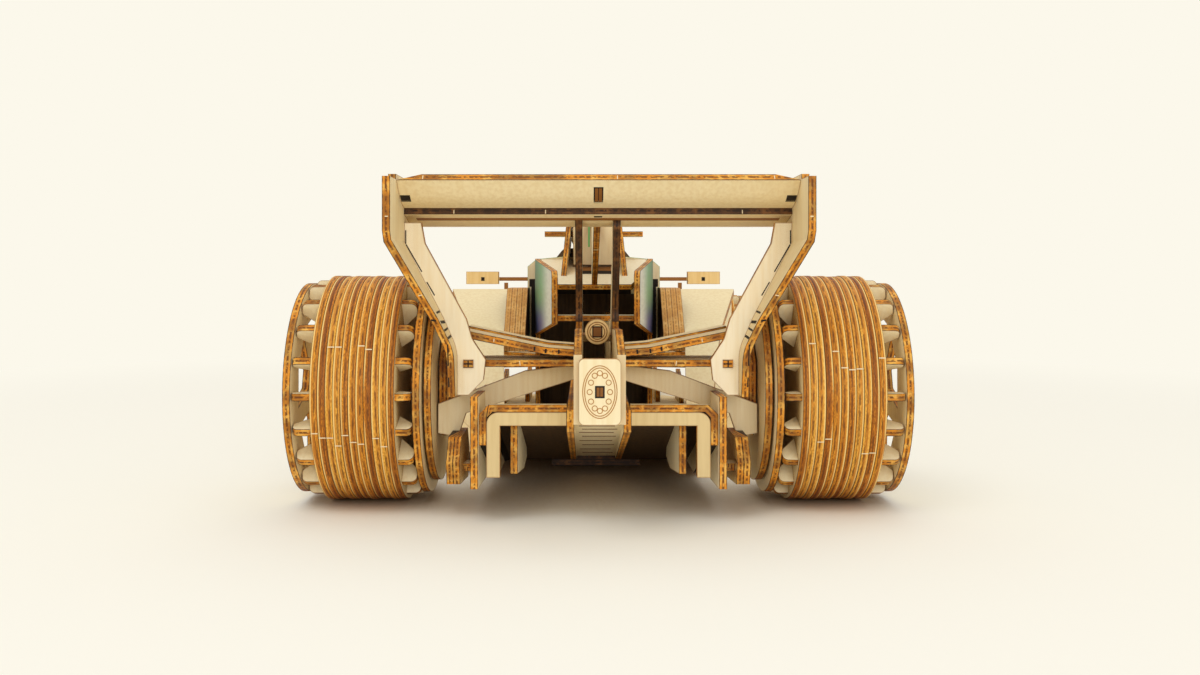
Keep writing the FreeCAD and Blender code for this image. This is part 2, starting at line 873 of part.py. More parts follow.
def shoulder_panel():
    """The sloping panel between the two upper bulkheads."""
    path = [(tub_half_width - 1.0, tub_top + 3.4), (airbox_bottom_x - 0.6, seat_bulkhead_top - 3.0)]
    return sheet(path, "y", deck_front + ply, seat_bulkhead)


def shark_fin():
    """The upright fin along the middle of the cover."""
    points = [
        (shark_fin_rear + 1.0, shark_fin_tip - 2.5),
        (deck_rear + 2.0, between(deck_line(), deck_rear + 2.0)),
        (deck_front, between(deck_line(), deck_front)),
        (deck_front, airbox_top - ply),
        (airbox_wall - 6.0, airbox_top - ply, 10.0),
        (shark_fin_rear, shark_fin_tip + 0.5),
    ]
    return plate(points, "x", -ply / 2.0, ply / 2.0).cut(engine_deck()).cut(camera_bar())


airbox_slope = ((airbox_bottom, airbox_bottom_x), (airbox_top, airbox_top_x))


def airbox_side():
    path = [
        (between(airbox_slope, airbox_bottom - 8.0), airbox_bottom - 8.0),
        (airbox_top_x, airbox_top),
    ]
    outline = [
        (deck_front + ply, airbox_bottom),
        (deck_front + ply, bulkhead_top),
        (deck_front, between(deck_line(), deck_front)),
        (airbox_rear, between(deck_line(), airbox_rear)),
        (airbox_wall - 2.0, airbox_top, 6.0),
        (seat_bulkhead + ply, airbox_top),
        (seat_bulkhead + ply, seat_bulkhead_top),
        (seat_bulkhead, seat_bulkhead_top),
        (seat_bulkhead, airbox_bottom),
    ]
    body = sheet(path, "y", airbox_rear - 5.0, seat_bulkhead + 10.0)
    body = body.common(plate(outline, "x", 0, half_width))
    return body.cut(cover_bulkhead()).cut(camera_bar()).cut(engine_deck()).cut(shoulder_panel())


def airbox_back():
    """The rear wall of the airbox, in two halves beside the fin."""
    low = between(deck_line(), airbox_wall) + 2.0
    points = mirrored([
        (airbox_bottom_x - 3.4, low),
        (airbox_top_x - ply / 2.0 - 0.1, airbox_top - ply),
    ])
    return plate(points, "y", airbox_wall, airbox_wall + ply).cut(shark_fin()).cut(engine_deck())


def airbox_shell():
    """The intake plate, the roof and the rear wall of the airbox."""
    front = seat_bulkhead + ply
    outline = mirrored([
        (4.0, seat_bulkhead_top - 6.0),
        (airbox_top_x + 1.6, airbox_top - 6.0),
        (airbox_top_x - 0.4, intake_top, 3.0),
    ])
    mouth = mirrored([
        (2.6, seat_bulkhead_top - 1.0),
        (airbox_top_x - 1.8, airbox_top - 6.0),
        (airbox_top_x - 3.4, intake_top - 3.6),
    ])
    inner = airbox_top_x - ply / 2.0 - 0.1
    roof = [(-inner, airbox_wall), (inner, airbox_wall), (inner, front), (-inner, front)]
    body = plate(outline, "y", front, front + ply).cut(plate(mouth, "y", front, front + ply))
    return body.fuse([plate(roof, "z", airbox_top - ply, airbox_top), airbox_back()]).removeSplitter()


def camera_bar():
    """The bar across the airbox that stands for the camera pods."""
    points = mirrored([
        (camera_half_span, camera_rear),
        (camera_half_span, camera_rear + camera_depth),
    ])
    return plate(points, "z", camera_height, camera_height + ply)


# Tub, cockpit and nose

def tub_path():
    return [
        (tub_half_width, tub_rear),
        (tub_half_width, seat_bulkhead + 18.0, 60.0),
        (nose_joint_half_width + 3.2, nose_joint - 44.0, 80.0),
        (nose_joint_half_width, nose_joint),
    ]


nose_taper = ((nose_joint, nose_joint_half_width), (nose_end, nose_tip_half_width))


def nose_path():
    return [
        (between(nose_taper, nose_joint - 1.0), nose_joint - 1.0),
        (nose_tip_half_width, nose_end),
    ]


def inside_of(path, low_y, high_y):
    """The space between a bent side sheet and its mirror image."""
    inner = sheet_edges(lengthened(path), ply)[0]
    points = mirrored([(p[0], p[1], p[2]) for p in inner])
    block = plate([(-far, low_y), (far, low_y), (far, high_y), (-far, high_y)], "z", 0, far)
    return plate(points, "z", 0, far).common(block)


tub_top_line = ((dash, cockpit_end_height), (nose_joint, nose_joint_top))
nose_top_line = ((nose_joint, nose_joint_top), (nose_end, nose_tip_top))
nose_bottom_line = ((nose_joint, nose_joint_bottom), (nose_end, nose_tip_bottom))


def tub_side():
    """One bent side of the tub, open on top for the cockpit."""
    outline = [
        (tub_rear, floor_top),
        (nose_joint - 56.0, floor_top, 12.0),
        (nose_joint, nose_joint_bottom),
        (nose_joint, nose_joint_top),
        (dash - 2.0, cockpit_end_height + 0.3, 10.0),
        (seat_bulkhead, tub_top, 6.0),
        (tub_rear, tub_top),
    ]
    slot_low = front_axle - steering_arm_length - track_rod_half_depth - 0.8
    slot_high = slot_low + 2.0 * track_rod_half_depth + 1.6
    slot = [
        (slot_low, track_rod_bottom - 0.5),
        (slot_high, track_rod_bottom - 0.5),
        (slot_high, track_rod_bottom + ply + 0.5),
        (slot_low, track_rod_bottom + ply + 0.5),
    ]
    body = sheet(lengthened(tub_path()), "z", 0, far).common(plate(outline, "x", 0, half_width))
    return body.cut(plate(slot, "x", 0, half_width))


def tub_formers():
    """The cross plates inside the tub: seat bulkhead, dash and nose joint."""
    seat = mirrored([
        (tub_half_width - ply / 2.0, floor_top),
        (tub_half_width - ply / 2.0, tub_top),
        (tub_half_width + ply / 2.0, tub_top),
        (tub_half_width + ply / 2.0, tub_top + 6.0, 3.0),
        (airbox_bottom_x + 1.0, seat_bulkhead_top, 3.0),
    ])
    high = cockpit_end_height - 2.6
    dash_plate = [(-far, 30.0), (far, 30.0), (far, high), (-far, high)]
    low, high = nose_joint_bottom + 1.0, nose_joint_top - 2.4
    joint_plate = [(-far, low), (far, low), (far, high), (-far, high)]
    inside = inside_of(tub_path(), tub_rear, nose_joint)
    return [
        plate(seat, "y", seat_bulkhead, seat_bulkhead + ply),
        plate(dash_plate, "y", dash, dash + ply).common(inside),
        plate(joint_plate, "y", nose_joint - ply, nose_joint).common(inside),
    ]


def tub_deck():
    """The sloping cover ahead of the cockpit."""
    path = [(a, b - 1.2) for a, b in tub_top_line]
    return sheet(path, "x", -far, far).common(inside_of(tub_path(), dash, nose_joint))


def seat():
    """The driver's seat, one bent sheet on the floor."""
    pan = floor_top + ply / 2.0
    half = tub_half_width - 8.0
    path = [
        (seat_bulkhead + 3.4, tub_top - 7.0),
        (seat_bulkhead + 20.0, pan, 12.0),
        (seat_bulkhead + seat_length, pan),
    ]
    return sheet(path, "x", -half, half)


def headrest():
    """The U-shaped pad round the driver's head, between the tub sides."""
    inner = tub_half_width - 9.5
    front = seat_bulkhead + 34.0
    points = mirrored([
        (far, seat_bulkhead + ply),
        (far, front),
        (inner, front),
        (inner, seat_bulkhead + 9.0, 7.0),
    ])
    body = plate(points, "z", tub_top - 2.5, tub_top - 2.5 + ply)
    return body.common(inside_of(tub_path(), seat_bulkhead + ply, front)).cut(seat())


def steering_wheel():
    low = cockpit_end_height - 17.5
    points = mirrored([
        (3.0, low),
        (7.5, low + 1.5),
        (7.5, low + 9.5),
        (3.0, low + 10.5),
    ])
    rear = dash - wheel_to_dash
    wheel = plate(points, "y", rear, rear + ply)
    column = mirrored([(1.0, low + 4.5), (1.0, low + 6.5)])
    return wheel.fuse(plate(column, "y", rear + ply, dash))


def halo():
    """The flat hoop over the cockpit with its centre strut."""
    rear = seat_bulkhead + ply
    outer = mirrored([
        (halo_half_width, rear),
        (halo_half_width, halo_front - 30.0, 24.0),
        (4.0, halo_front),
    ])
    inner_half = halo_half_width - halo_band
    inner = mirrored([
        (inner_half, rear),
        (inner_half, halo_front - 30.0, 20.0),
        (3.0, halo_front - halo_band),
    ])
    top = halo_bottom + ply
    hoop = plate(outer, "z", halo_bottom, top).cut(plate(inner, "z", halo_bottom, top))
    foot = dash + 8.0
    strut = [
        (foot, between(tub_top_line, foot) - 0.4),
        (foot + 5.0, between(tub_top_line, foot + 5.0) - 0.4),
        (halo_front, halo_bottom),
        (halo_front - halo_band, halo_bottom),
    ]
    leg = plate(strut, "x", -ply / 2.0, ply / 2.0).cut(tub_deck())
    return hoop.fuse(leg).removeSplitter()


def mirror():
    """A mirror pod with its stay and its post on the sidepod's roof."""
    pod = [
        (mirror_inner, mirror_bottom),
        (mirror_outer, mirror_bottom),
        (mirror_outer, mirror_top),
        (mirror_inner, mirror_top),
    ]
    root = tub_half_width + 1.0
    low, high = mirror_bottom + 1.4, mirror_bottom + 3.0
    stay = [
        (root, tub_top - 1.0),
        (root + 2.0, tub_top - 1.0),
        (root + 2.0, low),
        (mirror_inner, low),
        (mirror_inner, high),
        (root, high),
    ]
    foot, side = mirror_bottom - 4.8, mirror_inner - 4.0
    post = [(side, foot), (side + 1.6, foot), (side + 1.6, foot + 5.4), (side, foot + 5.4)]
    body = plate(pod, "y", mirror_y - 1.0, mirror_y + 3.0)
    body = body.fuse([plate(stay, "y", mirror_y, mirror_y + ply), plate(post, "y", mirror_y, mirror_y + ply)])
    return body.removeSplitter().cut(sidepod_top()).cut(below_pod()).cut(tub_side())


def nose_side():
    outline = [
        (nose_joint, nose_joint_bottom),
        (nose_end, nose_tip_bottom),
        (nose_end, nose_tip_top, 3.0),
        (nose_joint, nose_joint_top),
    ]
    return sheet(lengthened(nose_path()), "z", 0, far).common(plate(outline, "x", 0, half_width))


def nose_panels():
    """The roof, the underside and the tip of the nose, between and ahead of its sides."""
    inside = inside_of(nose_path(), nose_joint, nose_end)
    roof = sheet([(a, b - 1.2) for a, b in nose_top_line], "x", -far, far)
    under = sheet([(a, b + 1.2) for a, b in nose_bottom_line], "x", -far, far)
    return roof.common(inside).fuse([under.common(inside), nose_tip()]).removeSplitter()


def nose_tip():
    """The rounded block at the end of the nose, standing on the front wing."""
    wide = nose_tip_half_width + ply / 2.0
    top = mirrored([
        (wide, nose_end),
        (wide, nose_end + 2.0, 1.5),
        (3.5, front_end - 2.0, 3.0),
    ])
    return plate(top, "z", front_wing_bottom + ply, nose_tip_top - 1.0)


# Front wing

def front_wing_plane():
    points = mirrored([
        (0, front_end - 22.0),
        (14.0, front_end - 23.0),
        (front_wing_half_span, front_end - 36.0),
        (front_wing_half_span, front_end - 18.0, 3.0),
        (12.0, front_end - 1.0, 6.0),
        (0, front_end),
    ])
    return plate(points, "z", front_wing_bottom, front_wing_bottom + ply)


def front_wing_flaps():
    """Stacked inclined blades on each side of the nose, swept back to the endplates."""
    root = nose_tip_half_width + 1.5
    span = front_wing_half_span - root
    blades = []
    for i in range(front_flaps):
        pitch = math.radians(18.0 + 8.0 * i)
        front = (flap_root_y - flap_pitch * i, front_wing_bottom + ply + 1.8 + flap_rise * i)
        back = (front[0] - flap_chord * math.cos(pitch), front[1] + flap_chord * math.sin(pitch))
        left, right = sheet_edges([front, back], flap_thickness)
        blade = face(left + right[::-1], "x", root).extrude(FreeCAD.Vector(span, -flap_sweep, 0))
        blades += pair(blade.cut(nose_side()).cut(nose_tip()))
    return blades


def front_wing_endplate():
    rear = front_axle + front_tyre_radius + 18.0
    front = front_end - 12.0
    points = [
        (rear, front_wing_bottom + 3.0),
        (rear + 2.0, front_wing_bottom - 3.5),
        (front, front_wing_bottom - 3.5),
        (front - 1.0, front_wing_bottom + 5.0, 5.0),
        (rear + 0.42 * (front - rear), front_wing_bottom + 24.0, 6.0),
        (rear, front_wing_bottom + 24.0),
    ]
    return plate(points, "x", front_wing_half_span, front_wing_half_span + ply)


# Front suspension and steering

def wishbone(bottom):
    """A flat two-legged arm from the tub to the kingpin."""
    outer = kingpin_x + 4.0
    points = [
        (outer, front_axle - 2.5),
        (outer, front_axle + 2.5),
        (kingpin_x + 2.0, front_axle + 4.5),
        (kingpin_x - 3.0, front_axle + 4.5),
        (6.0, front_axle + 3.5),
        (6.0, front_axle - 1.0),
        (kingpin_x - 8.0, front_axle + 0.5),
        (kingpin_x - 9.0, front_axle - 2.0),
        (6.0, front_axle - 28.0),
        (6.0, front_axle - 34.0),
        (kingpin_x - 3.0, front_axle - 5.5),
        (kingpin_x + 2.0, front_axle - 4.5),
    ]
    body = plate(points, "z", bottom, bottom + ply)
    body = body.cut(inside_of(tub_path(), tub_rear, nose_joint)).cut(tub_side())
    return body.cut(square_peg(kingpin_hole, kingpin_x, front_axle, 0, far))


def push_rod():
    """The slanted bar from the lower arm up to the tub."""
    foot = lower_arm_bottom + ply
    head = upper_arm_bottom + 4.5
    points = [(kingpin_x - 5.0, foot), (kingpin_x - 8.0, foot), (6.0, head), (6.0, head + 2.7)]
    body = plate(points, "y", front_axle - 8.0, front_axle - 8.0 + ply)
    return body.cut(inside_of(tub_path(), tub_rear, nose_joint)).cut(tub_side())


def square_peg(half, x, y, low, high):
    """A square bar along Z, for a peg or for the wider hole that it turns in."""
    points = [(x - half, y - half), (x + half, y - half), (x + half, y + half), (x - half, y + half)]
    return plate(points, "z", low, high)


def front_knuckle():
    """The block between the arms, with its king pegs, its stub axle and its steering arm."""
    low = lower_arm_bottom + ply + step_clear
    high = upper_arm_bottom - step_clear
    near, reach = kingpin_x - knuckle_half_width, kingpin_x + knuckle_half_width
    rear = front_axle - knuckle_half_depth
    front = front_axle + knuckle_half_depth
    block = [(near, rear), (reach, rear), (reach, front), (near, front)]
    arm_end = front_axle - steering_arm_length
    arm = [(near, rear), (near, arm_end - 2.0), (reach, arm_end - 2.0), (reach, rear)]
    arm_top = steering_arm_bottom + steering_arm_thickness
    body = plate(block, "z", low, high).fuse([
        plate(arm, "z", steering_arm_bottom, arm_top),
        square_peg(kingpin_flat, kingpin_x, front_axle, lower_arm_bottom - 1.0, upper_arm_bottom + ply + 1.0),
        square_peg(track_rod_peg, kingpin_x, arm_end, steering_arm_bottom, track_rod_bottom + ply + 0.6),
        disc(axle_radius, reach, half_width - axle_recess, front_axle, front_axle_height),
    ])
    return body.removeSplitter()


def track_rod():
    """The rod across the car that turns both knuckles together."""
    y = front_axle - steering_arm_length
    reach = kingpin_x + track_rod_end
    bar = mirrored([
        (reach, y - track_rod_half_depth),
        (reach, y + track_rod_half_depth),
    ])
    body = plate(bar, "z", track_rod_bottom, track_rod_bottom + ply)
    reach = track_rod_slot / 2.0
    for x in (-kingpin_x, kingpin_x):
        slot = [
            (x - reach, y - reach),
            (x + reach, y - reach),
            (x + reach, y + reach + track_rod_play),
            (x - reach, y + reach + track_rod_play),
        ]
        body = body.cut(plate(slot, "z", track_rod_bottom, track_rod_bottom + ply))
    return body


# Sidepods

def pod_profile():
    return [
        (pod_front, pod_front_height),
        (pod_crest, pod_crest_height, 40.0),
        (pod_waist, pod_waist_height, 60.0),
        (pod_tail, floor_top + 1.2),
    ]


def pod_outline(margin):
    """The plan of one sidepod's roof, grown outwards by a margin."""
    return [
        (pod_half_width - 5.0 + margin, pod_front),
        (pod_half_width + margin, pod_front - 16.0, 16.0),
        (pod_half_width + margin, pod_crest, 30.0),
        (pod_waist_half_width + margin, pod_waist, 40.0),
        (pod_tail_half_width + margin, pod_tail),
    ]


def below_pod():
    """The space under the sidepod's roof."""
    under = sheet_edges(pod_profile(), ply)[0]
    points = [(p[0], p[1], p[2]) for p in under] + [(pod_tail, 0.0), (pod_front, 0.0)]
    return plate(points, "x", 0, half_width)


def sidepod_top():
    """The roof of one sidepod, bent over its crest and down to the floor."""
    wall = pod_wall_x + pod_wall_thickness
    tub_face = tub_half_width + ply / 2.0
    outline = [
        (tub_face, pod_front),
    ] + pod_outline(1.0) + [
        (wall - 4.0, pod_tail),
        (wall, pod_wall_rear),
        (wall, pod_wall_front),
        (tub_face, pod_wall_front),
    ]
    roof = sheet(pod_profile(), "x", 0, half_width).common(plate(outline, "z", 0, far))
    block = [(0, floor_top), (half_width, floor_top), (half_width, far), (0, far)]
    return roof.common(plate(block, "y", 0, far)).cut(tub_side())


def sidepod_wall():
    """The outer side of one sidepod, undercut at the front."""
    path = [
        (pod_half_width - 3.6, pod_front - 4.0),
        (pod_half_width - 1.0, pod_front - 18.0, 16.0),
        (pod_half_width - 1.0, pod_crest, 30.0),
        (pod_waist_half_width - 1.0, pod_waist, 40.0),
        (pod_tail_half_width, pod_tail + 6.0),
    ]
    outline = [
        (pod_tail, floor_top),
        (pod_front - 38.0, floor_top, 6.0),
        (pod_front - 4.0, inlet_bottom),
        (pod_front - 4.0, far),
        (pod_tail, far),
    ]
    body = sheet(path, "z", 0, far).common(plate(outline, "x", 0, half_width))
    return body.common(below_pod())


def sidepod_inner_wall():
    """The laminated wall between the sidepod and the engine cover."""
    points = [
        (pod_wall_rear, pod_wall_bottom),
        (pod_wall_front, pod_wall_bottom),
        (pod_wall_front, pod_crest_height + 1.5),
        (pod_wall_rear + 18.0, pod_crest_height + 1.5, 6.0),
        (pod_wall_rear, pod_waist_height + 1.0),
    ]
    return plate(points, "x", pod_wall_x, pod_wall_x + pod_wall_thickness)


def sidepod_inlet():
    """The frame round the sidepod's inlet."""
    inner = tub_half_width - 2.0
    outline = [
        (inner, inlet_bottom),
        (pod_half_width - 8.0, inlet_bottom),
        (pod_half_width - 3.0, pod_front_height),
        (inner, pod_front_height),
    ]
    mouth = [
        (tub_half_width + 4.0, inlet_bottom + 5.0),
        (pod_half_width - 12.0, inlet_bottom + 5.0),
        (pod_half_width - 8.0, pod_front_height - 4.0),
        (tub_half_width + 4.0, pod_front_height - 4.0),
    ]
    low, high = pod_front - 2.0 * ply, pod_front - ply
    body = plate(outline, "y", low, high).cut(plate(mouth, "y", low, high)).common(below_pod())
    return body.cut(tub_side()).cut(inside_of(tub_path(), tub_rear, nose_joint)).cut(sidepod_wall())


def main():
    os.makedirs("parts", exist_ok=True)
    save_wheels()
    save("floor_board", [floor_board()])
    save("plank", [plank()])
    save("floor_fences", floor_fences())
    save("keel", [keel()])
    save("rear_arms", pair(rear_arm()))
    save("rear_uprights", pair(rear_upright()))
    save("diffuser_frames", pair(diffuser_frame()))
    save("diffuser_roof", pair(diffuser_roof()))
    save("diffuser_fences", diffuser_fences())
    save("duct_fins", pair(duct_fin()))
    save("spine_sides", pair(spine_side()))
    save("tie_boards", pair(tie_board()))
    save("light_plate", [light_plate()])
    save("exhaust", [exhaust()])
    save("beam_wing", beam_wing())
    save("wing_endplates", pair(wing_endplate()))
    save("wing_braces", pair(wing_brace()))
    save("wing_main", [wing_main()])
    save("wing_flap", [wing_flap()])
    save("cover_sides", pair(cover_side()))
    save("cover_frames", [cover_tie(), cover_bulkhead()])
    save("engine_deck", [engine_deck()])
    save("shoulder_panels", pair(shoulder_panel()))
    save("shark_fin", [shark_fin()])
    save("airbox_sides", pair(airbox_side()))
    save("airbox_shell", [airbox_shell()])
    save("camera_bar", [camera_bar()])
    save("tub_sides", pair(tub_side()))
    save("tub_formers", tub_formers())
    save("tub_deck", [tub_deck()])
    save("seat", [seat()])
    save("headrest", [headrest()])
    save("steering_wheel", [steering_wheel()])
    save("halo", [halo()])
    save("mirrors", pair(mirror()))
    save("nose_sides", pair(nose_side()))
    save("nose_panels", [nose_panels()])
    save("front_wing_plane", [front_wing_plane()])
    save("front_wing_flaps", front_wing_flaps())
    save("front_wing_endplates", pair(front_wing_endplate()))
    save("front_arms", pair(wishbone(lower_arm_bottom).fuse(push_rod())) + pair(wishbone(upper_arm_bottom)))
    save("front_knuckle_right", [front_knuckle()])
    save("front_knuckle_left", [flipped(front_knuckle())])
    save("track_rod", [track_rod()])
    save("sidepod_tops", pair(sidepod_top()))
    save("sidepod_walls", pair(sidepod_wall()))
    save("sidepod_inner_walls", pair(sidepod_inner_wall()))
    save("sidepod_inlets", pair(sidepod_inlet()))


main()
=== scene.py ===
"""Plywood kit model of an open wheel racing car, dressed as laser-cut sheet in Blender."""

import logging
import math
from collections.abc import Callable, Iterable
from dataclasses import dataclass, field
from enum import Enum
from typing import Protocol

import bmesh
import bpy
from mathutils import Matrix, Vector
from mathutils.bvhtree import BVHTree
from mathutils.kdtree import KDTree


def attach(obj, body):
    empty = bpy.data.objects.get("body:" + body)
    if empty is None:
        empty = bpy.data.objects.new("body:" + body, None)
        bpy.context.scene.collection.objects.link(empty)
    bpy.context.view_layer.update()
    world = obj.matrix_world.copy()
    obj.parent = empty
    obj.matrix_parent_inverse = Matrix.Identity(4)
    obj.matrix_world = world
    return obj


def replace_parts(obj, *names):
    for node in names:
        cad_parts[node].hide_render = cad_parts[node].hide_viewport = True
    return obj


logging.basicConfig(level=logging.INFO, format="%(message)s")
LOG = logging.getLogger("scene")

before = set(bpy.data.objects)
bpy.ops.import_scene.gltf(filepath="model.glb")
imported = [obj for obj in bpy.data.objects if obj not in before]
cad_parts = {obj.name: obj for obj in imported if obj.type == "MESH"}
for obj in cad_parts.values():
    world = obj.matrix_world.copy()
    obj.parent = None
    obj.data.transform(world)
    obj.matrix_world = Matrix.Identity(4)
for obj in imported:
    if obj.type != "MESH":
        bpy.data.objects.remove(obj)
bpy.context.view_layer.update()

Colour = tuple[float, float, float]
Stretch = tuple[float, float, float]
Point = tuple[float, float]
Span = tuple[float, float]
Socket = bpy.types.NodeSocket
Material = bpy.types.Material
Region = Callable[[Vector, Vector], bool]

# Sizes are in metres, written as a number times MM. Marks, outlines across the car and the regions of
# recolour are laid out in plain mm, X across, Y along and Z up.
MM = 0.001
PLY = 2.0 * MM
UPRIGHT = Matrix.Rotation(math.radians(90.0), 4, "X")

# The painted shade in corners: how far neighbours count, when a spot is open, and how fast red, green and
# blue fade.
SHADE_REACH = 16.0 * MM
SHADE_SPAN = (0.0, 0.3)
SHADE_POWERS = (0.66, 1.0, 1.5)

# The grain of every printed or bare face, and how steeply the scorch along its cuts fades.
GRAIN_SPAN = (0.35, 0.7)
GRAIN_DETAIL = 6.0
GRAIN_BUMP = 0.25
GRAIN_HEIGHT = 0.1 * MM
RIM_POWER = 2.2


def srgb(red: int, green: int, blue: int) -> Colour:
    """Turn an 8-bit screen colour into linear light.

    Args:
        red: Red, 0 to 255.
        green: Green, 0 to 255.
        blue: Blue, 0 to 255.

    Returns:
        The three channels in linear light.
    """
    def channel(value: int) -> float:
        """Linearise one channel."""
        part = value / 255.0
        return part / 12.92 if part <= 0.04045 else ((part + 0.055) / 1.055) ** 2.4

    return channel(red), channel(green), channel(blue)


class Side(Enum):
    """What a polygon of a cut sheet shows."""

    FACE = 0
    EDGE = 1


class Nodes:
    """A small helper that builds a shader tree."""

    def __init__(self, name: str) -> None:
        """Start an empty material.

        Args:
            name: The material's name.
        """
        self.material = bpy.data.materials.new(name)
        self.material.use_nodes = True
        self.tree = self.material.node_tree
        self.shader = self.tree.nodes["Principled BSDF"]

    def add(self, kind: str, **values: object) -> bpy.types.Node:
        """Add a node and set its properties.

        Args:
            kind: The node's Blender type.
            values: Properties to set on it.

        Returns:
            The new node.
        """
        node = self.tree.nodes.new(kind)
        for key, value in values.items():
            setattr(node, key, value)
        return node

    def put(self, socket: Socket, value: object) -> None:
        """Feed an input.

        Args:
            socket: The input.
            value: Another node's output, a number, a colour or a vector.
        """
        if isinstance(value, bpy.types.NodeSocket):
            self.tree.links.new(value, socket)
        elif isinstance(value, tuple) and len(value) == 3 and len(socket.default_value) == 4:
            socket.default_value = (*value, 1.0)
        else:
            socket.default_value = value

    def maths(self, operation: str, *values: object) -> Socket:
        """Add a maths node.

        Args:
            operation: Blender's name of the operation.
            values: What it works on.

        Returns:
            The result.
        """
        node = self.add("ShaderNodeMath", operation=operation)
        for socket, value in zip(node.inputs, values):
            self.put(socket, value)
        return node.outputs[0]

    def mix(self, factor: object, low: object, high: object, blend: str = "MIX") -> Socket:
        """Mix two colours.

        Args:
            factor: The share of the second one.
            low: The first colour.
            high: The second colour.
            blend: Blender's name of the way they mix.

        Returns:
            The mixed colour.
        """
        node = self.add("ShaderNodeMix", data_type="RGBA", blend_type=blend)
        self.put(node.inputs[0], factor)
        self.put(node.inputs[6], low)
        self.put(node.inputs[7], high)
        return node.outputs[2]

    def ramp(self, value: object, span: Span) -> Socket:
        """Map a value from a span to 0..1 with smooth ends.

        Args:
            value: The value.
            span: Where the ramp starts and ends.

        Returns:
            The mapped value.
        """
        node = self.add("ShaderNodeMapRange", interpolation_type="SMOOTHSTEP")
        for socket, given in zip(node.inputs, (value, *span, 0.0, 1.0)):
            self.put(socket, given)
        return node.outputs[0]

    def attribute(self, name: str) -> Socket:
        """Read a float attribute of the mesh."""
        return self.add("ShaderNodeAttribute", attribute_name=name).outputs["Fac"]

    def place(self) -> Socket:
        """Read the place on the object, in metres."""
        return self.add("ShaderNodeTexCoord").outputs["Object"]

    def noise(self, scale: Stretch | float, detail: float, where: Socket | None = None) -> Socket:
        """Add noise stretched along three axes.

        Args:
            scale: Frequency along each axis, or along all of them, in 1/m on the object.
            detail: Octaves.
            where: The place that it is read at, on the object unless given.

        Returns:
            The noise value, about 0.5 in the middle.
        """
        stretch = self.add("ShaderNodeVectorMath", operation="MULTIPLY")
        self.put(stretch.inputs[0], self.place() if where is None else where)
        stretch.inputs[1].default_value = (scale,) * 3 if isinstance(scale, float) else scale
        node = self.add("ShaderNodeTexNoise")
        self.put(node.inputs["Vector"], stretch.outputs[0])
        self.put(node.inputs["Scale"], 1.0)
        self.put(node.inputs["Detail"], detail)
        return node.outputs["Fac"]

    def show(self, shader: Socket) -> None:
        """Feed the material's surface."""
        self.put(self.tree.nodes["Material Output"].inputs["Surface"], shader)

    def shaded(self, colour: object, reach: float, depth: float) -> Socket:
        """Paint shade into a colour where other pieces stand close, in corners, creases and under things.

        Args:
            colour: The open colour.
            reach: How far the neighbours count.
            depth: How dark the painted shade in the deepest corner gets, 0 to 1.

        Returns:
            The shaded colour.
        """
        node = self.add("ShaderNodeAmbientOcclusion", samples=6)
        self.put(node.inputs["Distance"], reach)
        openness = self.ramp(node.outputs["AO"], SHADE_SPAN)
        kept = self.maths("MULTIPLY_ADD", openness, depth, 1.0 - depth)
        tone = self.add("ShaderNodeCombineColor")
        for socket, power in zip(tone.inputs, SHADE_POWERS):
            self.put(socket, self.maths("POWER", kept, power))
        return self.mix(1.0, colour, tone.outputs[0], "MULTIPLY")

    def done(
        self, colour: object, roughness: float, bump: Socket | None = None, depth: float = 0.0
    ) -> Material:
        """Wire up the surface and hand over the material.

        Args:
            colour: Its colour.
            roughness: Its roughness.
            bump: The height of its grain.
            depth: How dark the painted shade in its deepest corners gets, 0 to 1.

        Returns:
            The material.
        """
        if depth:
            colour = self.shaded(colour, SHADE_REACH, depth)
        self.put(self.shader.inputs["Base Color"], colour)
        self.put(self.shader.inputs["Roughness"], roughness)
        self.put(self.shader.inputs["Specular IOR Level"], 0.25)
        if bump is not None:
            node = self.add("ShaderNodeBump")
            self.put(node.inputs["Strength"], GRAIN_BUMP)
            self.put(node.inputs["Distance"], GRAIN_HEIGHT)
            self.put(node.inputs["Height"], bump)
            self.put(self.shader.inputs["Normal"], node.outputs["Normal"])
        return self.material


# In the finishes, a plain number for a pattern is its frequency in 1/m, a span says where a ramp starts
# and ends, and depth says how dark the painted shade in their corners gets.
class Finish(Protocol):
    """Anything that builds a material."""

    def build(self) -> Material:
        """Build the material."""


@dataclass(frozen=True)
class FaceFinish:
    """The pale flat side of a sheet, with grain and a scorched rim along every cut."""

    name: str
    light: Colour
    dark: Colour
    scorch: Colour = srgb(150, 98, 40)
    depth: float = 0.8
    grain: Stretch = (900.0, 900.0, 60.0)
    grain_share: float = 0.5
    cloud: float = 26.0
    cloud_span: Span = (0.3, 0.75)
    cloud_share: float = 0.25
    roughness: float = 0.62

    def build(self) -> Material:
        """Build the material.

        Returns:
            The material.
        """
        tree = Nodes(self.name)
        fibre = tree.ramp(tree.noise(self.grain, GRAIN_DETAIL), GRAIN_SPAN)
        cloud = tree.ramp(tree.noise(self.cloud, 2.0), self.cloud_span)
        base = tree.mix(tree.maths("MULTIPLY", fibre, self.grain_share), self.light, self.dark)
        base = tree.mix(tree.maths("MULTIPLY", cloud, self.cloud_share), base, self.dark)
        rim = tree.maths("POWER", tree.attribute("burn"), RIM_POWER)
        return tree.done(tree.mix(rim, base, self.scorch), self.roughness, fibre, self.depth)


